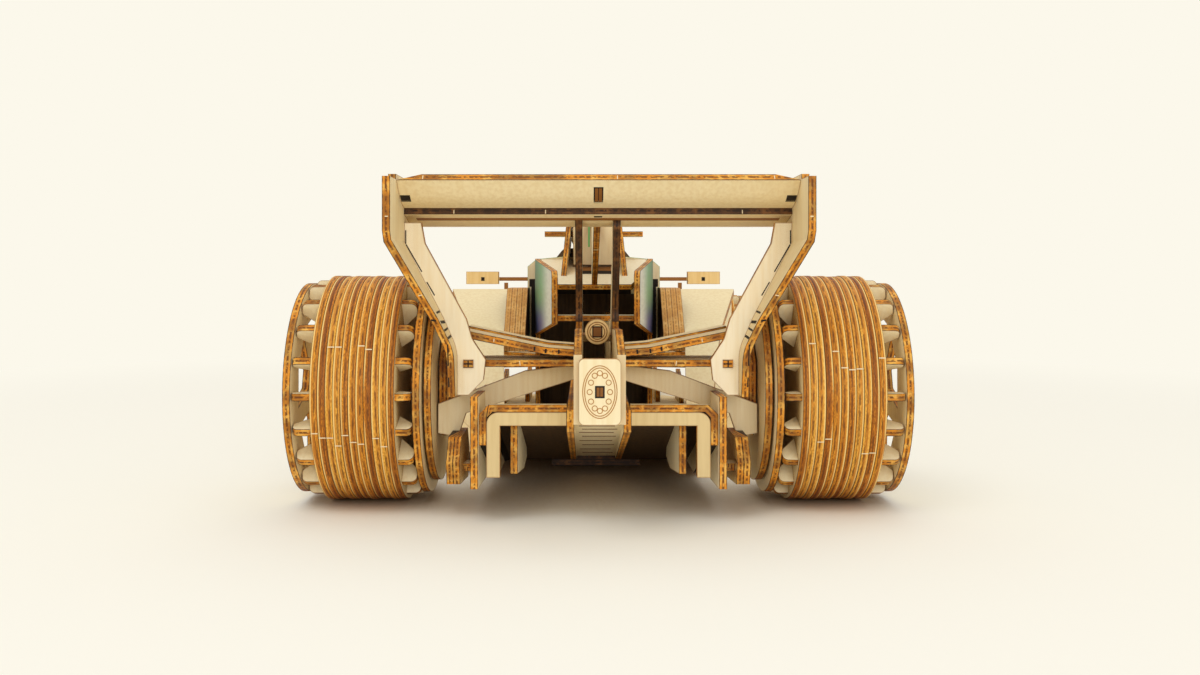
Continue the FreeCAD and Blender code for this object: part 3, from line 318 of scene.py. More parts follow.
@dataclass(frozen=True)
class EdgeFinish:
    """A laser-cut edge: burnt outer veneers and a golden core, mottled along its length."""

    name: str
    core: Colour
    burnt: Colour
    middle: Colour
    pale: Colour = srgb(236, 178, 80)
    fine: float = 1100.0
    wander: float = 0.2
    rim: Span = (0.38, 0.47)
    seam: Span = (0.06, 0.24)
    mottle: Span = (0.38, 0.56)
    tone: float = 420.0
    tone_span: Span = (0.45, 0.62)
    blotch: float = 170.0
    blotch_span: Span = (0.4, 0.62)
    blotch_share: float = 0.6
    depth: float = 0.65
    roughness: float = 0.55

    def build(self) -> Material:
        """Build the material.

        Returns:
            The material.
        """
        tree = Nodes(self.name)
        # The factor keeps the far side of the last ply from wrapping round to its near side.
        across = tree.maths("FRACT", tree.maths("MULTIPLY", tree.attribute("across"), 0.9999))
        centre = tree.maths("ABSOLUTE", tree.maths("SUBTRACT", across, 0.5))
        fine = tree.noise(self.fine, 4.0)
        wavy = tree.maths("MULTIPLY_ADD", tree.maths("SUBTRACT", fine, 0.5), self.wander, centre)
        seam = tree.maths("SUBTRACT", 1.0, tree.ramp(wavy, self.seam))
        blotch = tree.ramp(tree.noise(self.blotch, 3.0), self.blotch_span)
        base = tree.mix(tree.ramp(tree.noise(self.tone, 2.0), self.tone_span), self.core, self.pale)
        base = tree.mix(tree.maths("MULTIPLY", blotch, self.blotch_share), base, self.middle)
        base = tree.mix(tree.maths("MULTIPLY", seam, tree.ramp(fine, self.mottle)), base, self.middle)
        base = tree.mix(tree.ramp(wavy, self.rim), base, self.burnt)
        return tree.done(base, self.roughness, depth=self.depth)


@dataclass(frozen=True)
class Streak:
    """Streaks round a tread ply: their frequency along and across it per mm, and how sharp they are."""

    along: float
    across: float
    span: Span

    def on(self, tree: Nodes, where: Socket) -> Socket:
        """Return the streaks' strength at a place on the tread."""
        return tree.ramp(tree.noise((self.along, self.across, 1.0), 4.0, where), self.span)


@dataclass(frozen=True)
class TreadFinish:
    """The edge of one round tread ply: streaks that run round the wheel between pale veneer lines."""

    name: str
    gold: Colour
    brown: Colour
    pale: Colour = srgb(242, 204, 126)
    deep: Colour = srgb(92, 48, 14)
    joint: Colour = srgb(40, 24, 14)
    broad: Streak = Streak(0.02, 1.3, (0.36, 0.6))
    broad_share: float = 0.7
    short: Streak = Streak(1.1, 5.0, (0.42, 0.62))
    short_share: float = 0.75
    band: Streak = Streak(0.3, 1.6, (0.36, 0.56))
    band_middle: float = 0.4
    band_span: Span = (0.06, 0.2)
    band_share: float = 0.8
    veneer: Streak = Streak(0.04, 1.4, (0.34, 0.5))
    veneer_span: Span = (0.74, 0.82)
    joint_span: Span = (0.43, 0.48)
    depth: float = 0.5
    roughness: float = 0.5

    def build(self) -> Material:
        """Build the material.

        Returns:
            The material.
        """
        tree = Nodes(self.name)
        where = tree.add("ShaderNodeUVMap", uv_map="around").outputs[0]
        across = tree.attribute("across")
        broad = tree.maths("MULTIPLY", self.broad.on(tree, where), self.broad_share)
        short = tree.maths("MULTIPLY", self.short.on(tree, where), self.short_share)
        base = tree.mix(short, tree.mix(broad, self.gold, self.brown), self.brown)
        off = tree.maths("ABSOLUTE", tree.maths("SUBTRACT", across, self.band_middle))
        band = tree.maths("SUBTRACT", 1.0, tree.ramp(off, self.band_span))
        band = tree.maths("MULTIPLY", band, self.band.on(tree, where))
        base = tree.mix(tree.maths("MULTIPLY", band, self.band_share), base, self.deep)
        veneer = tree.maths("MULTIPLY", tree.ramp(across, self.veneer_span), self.veneer.on(tree, where))
        base = tree.mix(veneer, base, self.pale)
        centre = tree.maths("ABSOLUTE", tree.maths("SUBTRACT", across, 0.5))
        base = tree.mix(tree.ramp(centre, self.joint_span), base, self.joint)
        return tree.done(base, self.roughness, depth=self.depth)


@dataclass(frozen=True)
class PlainFinish:
    """One even colour."""

    name: str
    colour: Colour
    roughness: float = 0.6

    def build(self) -> Material:
        """Build the material."""
        return Nodes(self.name).done(self.colour, self.roughness)


@dataclass(frozen=True)
class PrintedFinish:
    """A panel printed green above and blue-violet below over the wood's grain, with painted light that pales
    it to the rear and painted shade that darkens it to the front.
    """

    name: str
    top: Colour
    foot: Colour
    rear: Colour = srgb(222, 220, 200)
    front_shade: Colour = srgb(44, 50, 50)
    wood: Colour = srgb(120, 110, 80)
    rim: Colour = srgb(90, 80, 45)
    height_span: Span = (47.0 * MM, 58.0 * MM)
    rear_light_span: Span = (-122.0 * MM, -80.0 * MM)
    front_shade_span: Span = (-90.0 * MM, -50.0 * MM)
    front_shade_share: float = 0.6
    grain: Stretch = (900.0, 60.0, 900.0)
    grain_share: float = 0.18
    depth: float = 0.8
    roughness: float = 0.5

    def build(self) -> Material:
        """Build the material.

        Returns:
            The material.
        """
        tree = Nodes(self.name)
        parts = tree.add("ShaderNodeSeparateXYZ")
        tree.put(parts.inputs[0], tree.place())
        fibre = tree.ramp(tree.noise(self.grain, GRAIN_DETAIL), GRAIN_SPAN)
        base = tree.mix(tree.ramp(parts.outputs[2], self.height_span), self.foot, self.top)
        # Painted light pales the print to the rear, and painted shade darkens it to the front.
        base = tree.mix(tree.ramp(parts.outputs[1], self.rear_light_span), self.rear, base)
        front_shade = tree.ramp(parts.outputs[1], self.front_shade_span)
        base = tree.mix(tree.maths("MULTIPLY", front_shade, self.front_shade_share), base, self.front_shade)
        base = tree.mix(tree.maths("MULTIPLY", fibre, self.grain_share), base, self.wood)
        rim = tree.maths("POWER", tree.attribute("burn"), RIM_POWER)
        return tree.done(tree.mix(rim, base, self.rim), self.roughness, fibre, self.depth)


TREAD_TONES = (
    (srgb(242, 170, 52), srgb(172, 96, 16)),
    (srgb(230, 150, 38), srgb(140, 74, 10)),
    (srgb(246, 186, 74), srgb(192, 114, 26)),
    (srgb(222, 138, 30), srgb(126, 64, 8)),
)


def tread_materials() -> tuple[Material, ...]:
    """Build a material for each tone of the tread plies."""
    return tuple(TreadFinish(f"tread_edge_{i}", *tone).build() for i, tone in enumerate(TREAD_TONES))


def built(finish: Finish) -> Material:
    """Declare a palette's field that holds the material of a finish."""
    return field(default_factory=finish.build)


@dataclass(frozen=True)
class Palette:
    """Every finish of the model, built once."""

    # The sides of the sheets: the plain one, and copies of it with painted light and shade for where each is
    # used.
    # Bright, light and open are painted lighter and with less painted shade in their corners, low darker,
    # warm more orange with less painted shade, and shade is a dark face painted where there is only shade in
    # the car.
    face: Material = built(FaceFinish("ply_face", srgb(244, 226, 182), srgb(228, 202, 148)))
    bright: Material = built(FaceFinish("ply_face_bright", srgb(250, 238, 210), srgb(240, 220, 178)))
    light: Material = built(FaceFinish("ply_face_light", srgb(246, 230, 190), srgb(234, 210, 160), depth=0.5))
    open: Material = built(FaceFinish("ply_face_open", srgb(250, 236, 200), srgb(238, 216, 168), depth=0.3))
    low: Material = built(FaceFinish("ply_face_low", srgb(224, 200, 148), srgb(206, 178, 126), depth=0.5))
    warm: Material = built(FaceFinish("ply_face_warm", srgb(240, 208, 146), srgb(224, 184, 116), depth=0.4))
    shade: Material = built(
        FaceFinish("ply_face_shade", srgb(96, 74, 50), srgb(52, 40, 30), srgb(30, 22, 16))
    )
    rimmed: Material = built(
        FaceFinish("printed_rim_face", srgb(240, 226, 188), srgb(222, 200, 150), srgb(104, 176, 120))
    )
    # The cut edges, with a darker copy that is also painted as shade on edges in the cockpit and the bay.
    edge: Material = built(EdgeFinish("ply_edge", srgb(220, 142, 38), srgb(46, 28, 16), srgb(106, 58, 16)))
    dark_edge: Material = built(
        EdgeFinish("ply_edge_dark", srgb(88, 58, 32), srgb(30, 22, 16), srgb(46, 32, 22), srgb(128, 84, 42))
    )
    soft_edge: Material = built(
        EdgeFinish(
            "ply_edge_soft", srgb(224, 166, 88), srgb(146, 92, 42), srgb(190, 130, 60), srgb(232, 184, 110)
        )
    )
    tread_tones: tuple[Material, ...] = field(default_factory=tread_materials)
    # The print and the marks. The kerfs' black also paints the shade in slots, openings and gaps.
    printed: Material = built(PrintedFinish("printed_panel", srgb(112, 160, 104), srgb(84, 84, 130)))
    printed_rim: Material = built(PlainFinish("printed_rim", srgb(120, 196, 120), 0.5))
    burnt: Material = built(PlainFinish("laser_kerf_and_painted_shade", srgb(34, 26, 20), 0.7))
    peg: Material = built(PlainFinish("peg_end", srgb(134, 84, 34)))
    scorch: Material = built(PlainFinish("scorched_line", srgb(150, 98, 44)))
    engraved: Material = built(PlainFinish("engraved_line", srgb(178, 124, 62)))
    tab: Material = built(PlainFinish("break_off_tab", srgb(236, 216, 176)))
    board: Material = built(PlainFinish("board_end", srgb(226, 204, 158)))


def link(name: str, mesh: bpy.types.Mesh, body: str, slot: str) -> bpy.types.Object:
    """Make a piece from a mesh and hang it on a body.

    Args:
        name: The piece's name.
        mesh: Its mesh, in the row frame.
        body: The CAD body that it rides on.
        slot: Not used.

    Returns:
        The new object.
    """
    piece = bpy.data.objects.new(name, mesh)
    bpy.context.scene.collection.objects.link(piece)
    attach(piece, body)
    LOG.info("piece %s on %s", name, body)
    return piece


def settle(mesh: bmesh.types.BMesh, name: str, *materials: Material) -> bpy.types.Mesh:
    """Turn a built mesh into Blender's own kind.

    Args:
        mesh: The built mesh, which is freed.
        name: The new mesh's name.
        materials: Its materials, in the order that its polygons count them.

    Returns:
        The new mesh.
    """
    data = bpy.data.meshes.new(name)
    mesh.to_mesh(data)
    mesh.free()
    for material in materials:
        data.materials.append(material)
    return data


def set_layers(mesh: bmesh.types.BMesh) -> tuple[object, object]:
    """Give the vertices of a cut sheet their two float layers.

    Args:
        mesh: The mesh.

    Returns:
        The layer of the scorched rim and the one of the place across the plies.
    """
    layers = mesh.verts.layers.float
    burn = layers.get("burn") or layers.new("burn")
    across = layers.get("across") or layers.new("across")
    return burn, across


def islands(faces: list[bmesh.types.BMFace], angle: float) -> list[set[bmesh.types.BMFace]]:
    """Group faces that meet at less than an angle.

    Args:
        faces: The faces to group.
        angle: The largest angle between the normals of neighbours, in radians.

    Returns:
        The groups, largest area first.
    """
    left = set(faces)
    groups = []
    while left:
        queue = [left.pop()]
        group = set(queue)
        while queue:
            face = queue.pop()
            for edge in face.edges:
                if len(edge.link_faces) != 2:
                    continue
                for other in edge.link_faces:
                    if other in left and face.normal.angle(other.normal, math.pi) < angle:
                        left.discard(other)
                        group.add(other)
                        queue.append(other)
        groups.append(group)
    return sorted(groups, key=lambda g: -sum(f.calc_area() for f in g))


def recolour(piece: bpy.types.Object, material: Material, region: Region) -> None:
    """Give another finish to some polygons of a piece, told by their middles and normals.

    Args:
        piece: The dressed piece.
        material: The finish they get.
        region: Tells from a middle in mm and a normal whether the polygon is meant.
    """
    mesh = piece.data
    mesh.materials.append(material)
    number = len(mesh.materials) - 1
    for polygon in mesh.polygons:
        if region(polygon.center / MM, polygon.normal):
            polygon.material_index = number


@dataclass
class SheetDresser:
    """Turns the plain CAD solids of a node into cut sheets with burnt edges."""

    palette: Palette
    rim: float = 0.35 * MM
    longest_inset: float = 2.5
    fold: float = math.radians(38.0)
    flat: float = math.radians(0.5)
    merge: float = 0.001 * MM
    probe_inset: float = 0.4 * MM
    probe_depth: float = 0.01 * MM
    slack: float = 1.25
    # The share of the largest patch under which a patch that joins two sides is a cut edge.
    small_patch: float = 0.12
    # A direction that no sheet lies along, which tells the two sides of every sheet apart.
    slanted: Vector = field(default_factory=lambda: Vector((0.31, 0.53, 0.79)))

    def is_face(self, patch: set[bmesh.types.BMFace], tree: BVHTree, thickness: float) -> bool:
        """Tell whether a smooth patch is a sheet's side, with the other side one thickness behind it.

        Args:
            patch: The patch's polygons.
            tree: The whole mesh, for looking through it.
            thickness: The sheet's thickness.

        Returns:
            Whether most of the patch has the other side at that distance.
        """
        total, close = 0.0, 0.0
        for face in patch:
            for loop in face.loops:
                start, end = loop.vert.co, loop.link_loop_next.vert.co
                length = (end - start).length
                inward = face.normal.cross(end - start).normalized()
                spot = (start + end) / 2.0 + inward * self.probe_inset - face.normal * self.probe_depth
                hit = tree.ray_cast(spot, -face.normal)
                total += length
                if hit[3] is not None and hit[3] < thickness * self.slack:
                    close += length
        return close > 0.5 * total

    def find_sides(
        self, mesh: bmesh.types.BMesh, plies: int, ply: float
    ) -> tuple[list[bmesh.types.BMFace], dict[bmesh.types.BMVert, float]]:
        """Find the sides of the sheets.

        Args:
            mesh: The mesh.
            plies: How many plies it is laminated from.
            ply: The thickness of one.

        Returns:
            The sides' polygons, and how many plies lie under each of their corners.
        """
        tree = BVHTree.FromBMesh(mesh)
        sides: list[bmesh.types.BMFace] = []
        marked: dict[bmesh.types.BMVert, float] = {}
        largest = 0.0
        for patch in islands(mesh.faces[:], self.fold):
            corners = {vert for part in patch for vert in part.verts}
            area = sum(part.calc_area() for part in patch)
            largest = max(largest, area)
            told = {marked[vert] for vert in corners if vert in marked}
            if area < self.small_patch * largest and len(told) > 1:
                continue
            if not self.is_face(patch, tree, plies * ply):
                continue
            sides += patch
            facing = sum((part.normal * part.calc_area() for part in patch), Vector()).dot(self.slanted)
            for vert in corners - marked.keys():
                marked[vert] = float(plies) if facing > 0 else 0.0
        return sides, marked

    def sink(self, mesh: bmesh.types.BMesh, faces: list[bmesh.types.BMFace]) -> None:
        """Inset the sheet's sides and mark the rim that the laser scorched.

        Args:
            mesh: The mesh.
            faces: The polygons of its sheets' sides.
        """
        burn, _ = set_layers(mesh)
        for vert in mesh.verts:
            vert[burn] = 1.0
        places = KDTree(len(mesh.verts))
        for number, vert in enumerate(mesh.verts):
            places.insert(vert.co, number)
        places.balance()
        bmesh.ops.inset_region(mesh, faces=faces, thickness=self.rim, use_boundary=True, use_even_offset=True)
        inner = {vert for vert in mesh.verts if places.find(vert.co)[2] > self.merge / 10.0}
        limit = self.longest_inset * self.rim
        for vert in inner:
            vert[burn] = 0.0
            others = [edge.other_vert(vert) for edge in vert.link_edges]
            roots = [other.co for other in others if other not in inner] or [places.find(vert.co)[0]]
            root = min(roots, key=lambda place: (place - vert.co).length)
            way = vert.co - root
            if way.length > limit:
                vert.co = root + way.normalized() * limit

    def dress(
        self,
        node: str,
        body: str = "body",
        slot: str = "ply",
        face: Material | None = None,
        edge: Material | None = None,
        plies: int = 1,
        ply: float = PLY,
    ) -> bpy.types.Object:
        """Dress one node.

        Args:
            node: The CAD node that the piece stands for.
            body: The body that it rides on.
            slot: A name that is handed on to link.
            face: The finish of the sheets' sides.
            edge: The finish of their cut edges.
            plies: How many plies the node is laminated from.
            ply: The thickness of one.

        Returns:
            The dressed piece.
        """
        mesh = bmesh.new()
        mesh.from_mesh(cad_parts[node].data)
        bmesh.ops.remove_doubles(mesh, verts=mesh.verts[:], dist=self.merge)
        bmesh.ops.dissolve_limit(mesh, angle_limit=self.flat, verts=mesh.verts[:], edges=mesh.edges[:])
        mesh.normal_update()
        _, across = set_layers(mesh)
        sides, marked = self.find_sides(mesh, plies, ply)
        for vert in mesh.verts:
            vert[across] = marked.get(vert, 0.5)
        chosen = set(sides)
        for polygon in mesh.faces:
            polygon.material_index = Side.FACE.value if polygon in chosen else Side.EDGE.value
        curved = [part for part in mesh.faces if part not in chosen and len(part.verts) > 4]
        bmesh.ops.triangulate(mesh, faces=curved, ngon_method="BEAUTY")
        self.sink(mesh, sides)
        name = f"{node}_cut"
        data = settle(mesh, name, face or self.palette.face, edge or self.palette.edge)
        piece = link(name, data, body, slot)
        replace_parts(piece, node)
        return piece


def round_corner(points: list[Point], at: int, radius: float, steps: int = 5) -> list[Point]:
    """Replace one corner of an outline by an arc.

    Args:
        points: The closed outline.
        at: The corner's index.
        radius: The arc's radius.
        steps: How many segments the arc has.

    Returns:
        The new outline.
    """
    here = Vector(points[at])
    one = (Vector(points[at - 1]) - here).normalized()
    two = (Vector(points[(at + 1) % len(points)]) - here).normalized()
    half = one.angle(two) / 2.0
    middle = here + (one + two).normalized() * radius / math.sin(half)
    start = here + one * radius / math.tan(half)
    end = here + two * radius / math.tan(half)
    arc = []
    for i in range(steps + 1):
        part = start.lerp(end, i / steps) - middle
        arc.append(tuple(middle + part.normalized() * radius))
    return points[:at] + arc + points[at + 1:]


def oblong(left: float, right: float, low: float, high: float) -> list[Point]:
    """Return the corners of an upright rectangle."""
    return [(left, low), (right, low), (right, high), (left, high)]


@dataclass
class Blank:
    """A mesh of cut plates, each with pale sides, a scorched rim and a laser-cut edge."""

    rim: float = 0.3 * MM
    mesh: bmesh.types.BMesh = field(default_factory=bmesh.new)

    def __post_init__(self) -> None:
        """Add the layers that the finishes read."""
        self.burn, self.across = set_layers(self.mesh)

    def outline(
        self, points: list[Point], level: float, share: float, place: Matrix
    ) -> list[list[bmesh.types.BMVert]]:
        """Add the vertices of one side of a plate.

        Args:
            points: The plate's outline.
            level: How far out along its own Z the side lies.
            share: The side's place across the ply, 0 or 1.
            place: Where the plate goes.

        Returns:
            The ring on the cut and the one inside the scorched rim.
        """
        rings: list[list[bmesh.types.BMVert]] = [[], []]
        for i, point in enumerate(points):
            here = Vector(point)
            one = (here - Vector(points[i - 1])).normalized()
            two = (Vector(points[(i + 1) % len(points)]) - here).normalized()
            normal = Vector((-(one.y + two.y), one.x + two.x)).normalized()
            for ring, gap, burnt in zip(rings, (0.0, self.rim), (1.0, 0.0)):
                spot = here + normal * gap
                vert = self.mesh.verts.new(place @ Vector((spot.x, spot.y, level)))
                vert[self.burn] = burnt
                vert[self.across] = share
                ring.append(vert)
        return rings

    def plate(self, points: list[Point], thickness: float, place: Matrix, smooth: bool = False) -> None:
        """Add one plate.

        Args:
            points: Its outline in the plate's own X and Y.
            thickness: Its thickness, centred on its own Z = 0.
            place: Where it goes.
            smooth: Whether its cut edge is shaded smooth.
        """
        count = len(points)
        loops = [self.outline(points, (share - 0.5) * thickness, share, place) for share in (0.0, 1.0)]
        for turn, (outer, inner) in ((-1, loops[0]), (1, loops[1])):
            self.mesh.faces.new(inner[::turn]).material_index = Side.FACE.value
            for i in range(count):
                j = (i + 1) % count
                quad = (outer[i], outer[j], inner[j], inner[i])[::turn]
                self.mesh.faces.new(quad).material_index = Side.FACE.value
        low, high = loops[0][0], loops[1][0]
        for i in range(count):
            j = (i + 1) % count
            side = self.mesh.faces.new((low[i], low[j], high[j], high[i]))
            side.material_index = Side.EDGE.value
            side.smooth = smooth

    def bar(self, points: list[Point], rear: float, front: float, smooth: bool = False) -> None:
        """Add a plate or bar that runs along the car.

        Args:
            points: Its outline across the car, in mm.
            rear: Its rear end in mm.
            front: Its front end in mm.
            smooth: Whether its cut edge is shaded smooth.
        """
        place = Matrix.Translation((0.0, (rear + front) / 2.0 * MM, 0.0)) @ UPRIGHT
        self.plate([(x * MM, z * MM) for x, z in points], (front - rear) * MM, place, smooth)

    def finish(self, name: str, body: str, face: Material, edge: Material) -> bpy.types.Object:
        """Turn the plates into a piece of plywood with its two finishes."""
        return link(name, settle(self.mesh, name, face, edge), body, "ply")


class Mark(Protocol):
    """Anything that can be burnt into a surface."""

    def outlines(self) -> list[list[Point]]:
        """Return the flat outlines that it is made of, in mm."""


@dataclass(frozen=True)
class Stroke:
    """A straight mark in mm, as a pair on both sides of the car unless told otherwise."""

    start: Point
    end: Point
    width: float
    pair: bool = True

    def outlines(self) -> list[list[Point]]:
        """Work out the stroke's outline and its mirror image's.

        Returns:
            One or two outlines.
        """
        one, two = Vector(self.start), Vector(self.end)
        side = (two - one).normalized().orthogonal() * self.width / 2.0
        corners = [tuple(corner) for corner in (one - side, two - side, two + side, one + side)]
        mirrored = [(-x, z) for x, z in corners][::-1]
        return [corners, mirrored] if self.pair else [corners]


@dataclass(frozen=True)
class Window:
    """An upright rectangle in mm, in level strips for curved surfaces, as a pair unless told otherwise."""

    middle: float
    half: float
    low: float
    high: float
    steps: int = 1
    pair: bool = True

    def outlines(self) -> list[list[Point]]:
        """Work out the strips.

        Returns:
            The strips' outlines, the left side's first.
        """
        strips = []
        for side in (-1.0, 1.0) if self.pair else (1.0,):
            middle = side * self.middle
            for i in range(self.steps):
                low, high = (self.low + (self.high - self.low) * (i + share) / self.steps for share in (0, 1))
                strips.append(oblong(middle - self.half, middle + self.half, low, high))
        return strips


@dataclass(frozen=True)
class Ring:
    """An elliptic line in mm."""

    centre: Point
    reach: Point
    width: float
    steps: int = 36

    def spot(self, turn: float, grow: float) -> Point:
        """Return the point at an angle, at a distance outside the middle of the line."""
        (x, z), (wide, tall) = self.centre, self.reach
        return x + (wide + grow) * math.cos(turn), z + (tall + grow) * math.sin(turn)

    def outlines(self) -> list[list[Point]]:
        """Work out the short pieces that the line is made of.

        Returns:
            The pieces' outlines.
        """
        half = self.width / 2.0
        pieces = []
        for i in range(self.steps):
            start, end = (math.tau * (i + share) / self.steps for share in (0.0, 1.0))
            corners = ((start, -half), (end, -half), (end, half), (start, half))
            pieces.append([self.spot(turn, grow) for turn, grow in corners])
        return pieces


class Way(Enum):
    """The way that marks are projected: from outside the car, or sideways from its middle plane."""

    AHEAD = Vector((0.0, 1.0, 0.0))
    UP = Vector((0.0, 0.0, 1.0))
    LEFT = Vector((-1.0, 0.0, 0.0))
    RIGHT = Vector((1.0, 0.0, 0.0))


@dataclass
class Etcher:
    """Burns thin marks into the CAD or the dressed surfaces of some nodes, projected straight one way."""

    name: str
    nodes: tuple[str, ...]
    finish: Material
    way: Way = Way.AHEAD
    lift: float = 0.03 * MM
    sunk: float = 0.1 * MM
    body: str = "body"
    slot: str = "ply"
    dressed: bool = False

    def surface(self) -> BVHTree:
        """Gather the surfaces that the marks lie on.

        Returns:
            The surfaces, ready for rays.
        """
        target = bmesh.new()
        for node in self.nodes:
            piece = bpy.data.objects[f"{node}_cut"] if self.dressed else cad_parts[node]
            target.from_mesh(piece.data)
        tree = BVHTree.FromBMesh(target)
        target.free()
        return tree

    def hit(self, tree: BVHTree, point: Point) -> Vector | None:
        """Find the surface at a point.

        Args:
            tree: The surfaces.
            point: Across and up, across and along where marks go up, or along and up where they go sideways.

        Returns:
            The spot on the surface, if there is one.
        """
        a, b = (value * MM for value in point)
        starts = {Way.AHEAD: Vector((a, -1.0, b)), Way.UP: Vector((a, b, -1.0))}
        return tree.ray_cast(starts.get(self.way, Vector((0.0, a, b))), self.way.value)[0]

    def raise_mark(self, mesh: bmesh.types.BMesh, spots: list[Vector]) -> None:
        """Add one flat mark.

        Args:
            mesh: The mesh of all marks.
            spots: The mark's corners on the surface.
        """
        outer = [mesh.verts.new(spot - self.way.value * self.lift) for spot in spots]
        inner = [mesh.verts.new(spot + self.way.value * self.sunk) for spot in spots]
        mesh.faces.new(outer)
        mesh.faces.new(inner[::-1])
        for i in range(len(spots)):
            j = (i + 1) % len(spots)
            mesh.faces.new((outer[j], outer[i], inner[i], inner[j]))

    def etch(self, marks: Iterable[Mark]) -> None:
        """Burn the marks as one piece that goes with the first node. Those beside the surface are left out.

        Args:
            marks: What to burn.
        """
        tree = self.surface()
        mesh = bmesh.new()
        missed = 0
        for mark in marks:
            for outline in mark.outlines():
                spots = [self.hit(tree, point) for point in outline]
                if any(spot is None for spot in spots):
                    missed += 1
                else:
                    self.raise_mark(mesh, spots)
        bmesh.ops.recalc_face_normals(mesh, faces=mesh.faces[:])
        piece = link(self.name, settle(mesh, self.name, self.finish), self.body, self.slot)
        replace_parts(piece, self.nodes[0])
        if missed:
            LOG.info("%s: %d marks lie beside the surface", self.name, missed)


@dataclass
class Assembly:
    """A sub-assembly, with the finishes and the dresser that it uses."""

    palette: Palette
    dresser: SheetDresser


@dataclass
class Hull(Assembly):
    """The floor, the tub, the nose, the front wing and the sidepods."""

    plain: tuple[str, ...] = (
        "floor_fences", "front_wing_endplates", "front_wing_plane", "headrest", "nose_sides", "seat",
        "sidepod_inlets", "sidepod_tops", "sidepod_walls", "tub_deck", "steering_wheel", "front_arms", "halo",
        "nose_panels",
    )
    bay_front: float = 60.0
    cockpit_rear: float = 0.0
    flap_ply: float = 1.6 * MM
    pod_plies: int = 4

    def build(self) -> None:
        """Dress the hull, with painted shade inside the cockpit and the bay behind it."""
        dress, palette = self.dresser.dress, self.palette
        for node in self.plain:
            dress(node)
        for node in ("floor_board", "plank"):
            dress(node, edge=palette.dark_edge)
        sides, formers = dress("tub_sides"), dress("tub_formers")
        # Painted shade: the dark face on the tub's inner sides and the formers' rear faces, the dark edge on
        # their edges.
        recolour(
            sides, palette.shade, lambda spot, normal: normal.x * spot.x < 0.0 and spot.y < self.bay_front
        )
        recolour(formers, palette.shade, lambda spot, normal: normal.y < -0.5 and spot.y < self.bay_front)
        recolour(
            formers,
            palette.dark_edge,
            lambda spot, normal: abs(normal.y) < 0.5 and spot.y < self.cockpit_rear,
        )
        dress("front_wing_flaps", ply=self.flap_ply)
        # Painted shade: the inner walls of the sidepods get the dark shade face.
        dress("sidepod_inner_walls", face=palette.shade, edge=palette.soft_edge, plies=self.pod_plies)


@dataclass
class Axles(Assembly):
    """The rear uprights, the steering knuckles and the rod between them."""

    plies: int = 2

    def build(self) -> None:
        """Dress the axles."""
        self.dresser.dress("rear_uprights", plies=self.plies)
        for side in ("left", "right"):
            self.dresser.dress(f"front_knuckle_{side}", body=f"knuckle_{side}", plies=self.plies)
        self.dresser.dress("track_rod", body="track_rod")


@dataclass
class RearWing(Assembly):
    """The wing's slots with painted shade in them, its kerfs and slits, and the dark gap between its blades.
    """

    slots: tuple[Window, ...] = (
        Window(50.2, 1.3, 83.2, 84.7, steps=5),
        Window(0.0, 1.25, 82.9, 86.6, steps=12, pair=False),
    )
    pin: Window = Window(0.5, 0.4, 83.2, 86.3, steps=10)
    pin_lift: float = 0.06 * MM
    slits: tuple[Stroke, ...] = (
        Stroke((51.3, 76.0), (51.3, 72.4), 0.3),
        Stroke((51.2, 72.2), (47.0, 64.9), 0.3),
        Stroke((45.7, 62.2), (43.6, 58.6), 0.3),
        Stroke((39.2, 46.0), (39.2, 40.3), 0.35),
        Stroke((39.2, 37.2), (39.2, 34.6), 0.35),
    )
    edge_kerf: Stroke = Stroke((43.2, 52.4), (41.9, 52.2), 0.5)
    fold_kerfs: tuple[Stroke, ...] = (
        Stroke((-198.6, 54.2), (-191.2, 54.4), 0.5, pair=False),
        Stroke((-199.2, 51.8), (-191.2, 51.6), 0.75, pair=False),
        Stroke((-199.4, 49.6), (-191.2, 49.9), 0.5, pair=False),
        Stroke((-199.0, 47.6), (-191.2, 47.9), 0.6, pair=False),
    )
    blade_dash: Stroke = Stroke((-1.1, -189.2), (1.1, -189.2), 1.3, pair=False)
    blade_line: Stroke = Stroke((-49.0, -186.6), (49.0, -186.6), 2.6, pair=False)

    def build(self) -> None:
        """Dress the wing, burn its marks and paint the shade in its slots."""
        palette = self.palette
        self.dresser.dress("wing_main", edge=palette.dark_edge)
        self.dresser.dress("wing_flap")
        # The braces get the bright face: painted light.
        self.dresser.dress("wing_braces", face=palette.bright)
        self.dresser.dress("wing_endplates")
        ends, blade = ("wing_endplates",), ("wing_main",)
        # The black marks in the flap's slots are painted shade.
        Etcher("wing_slot_shade", ("wing_flap",), palette.burnt).etch(self.slots)
        Etcher("wing_pin", ("wing_flap",), palette.peg, lift=self.pin_lift).etch([self.pin])
        Etcher("brace_slits", ("wing_braces", *ends), palette.burnt).etch(self.slits)
        Etcher("endplate_kerfs", ends, palette.burnt).etch([self.edge_kerf])
        for way in (Way.LEFT, Way.RIGHT):
            Etcher(f"fold_kerfs_{way.name.lower()}", ends, palette.burnt, way).etch(self.fold_kerfs)
        Etcher("blade_dash", blade, palette.burnt, Way.UP).etch([self.blade_dash])
        Etcher("blade_line", blade, palette.scorch, Way.UP).etch([self.blade_line])


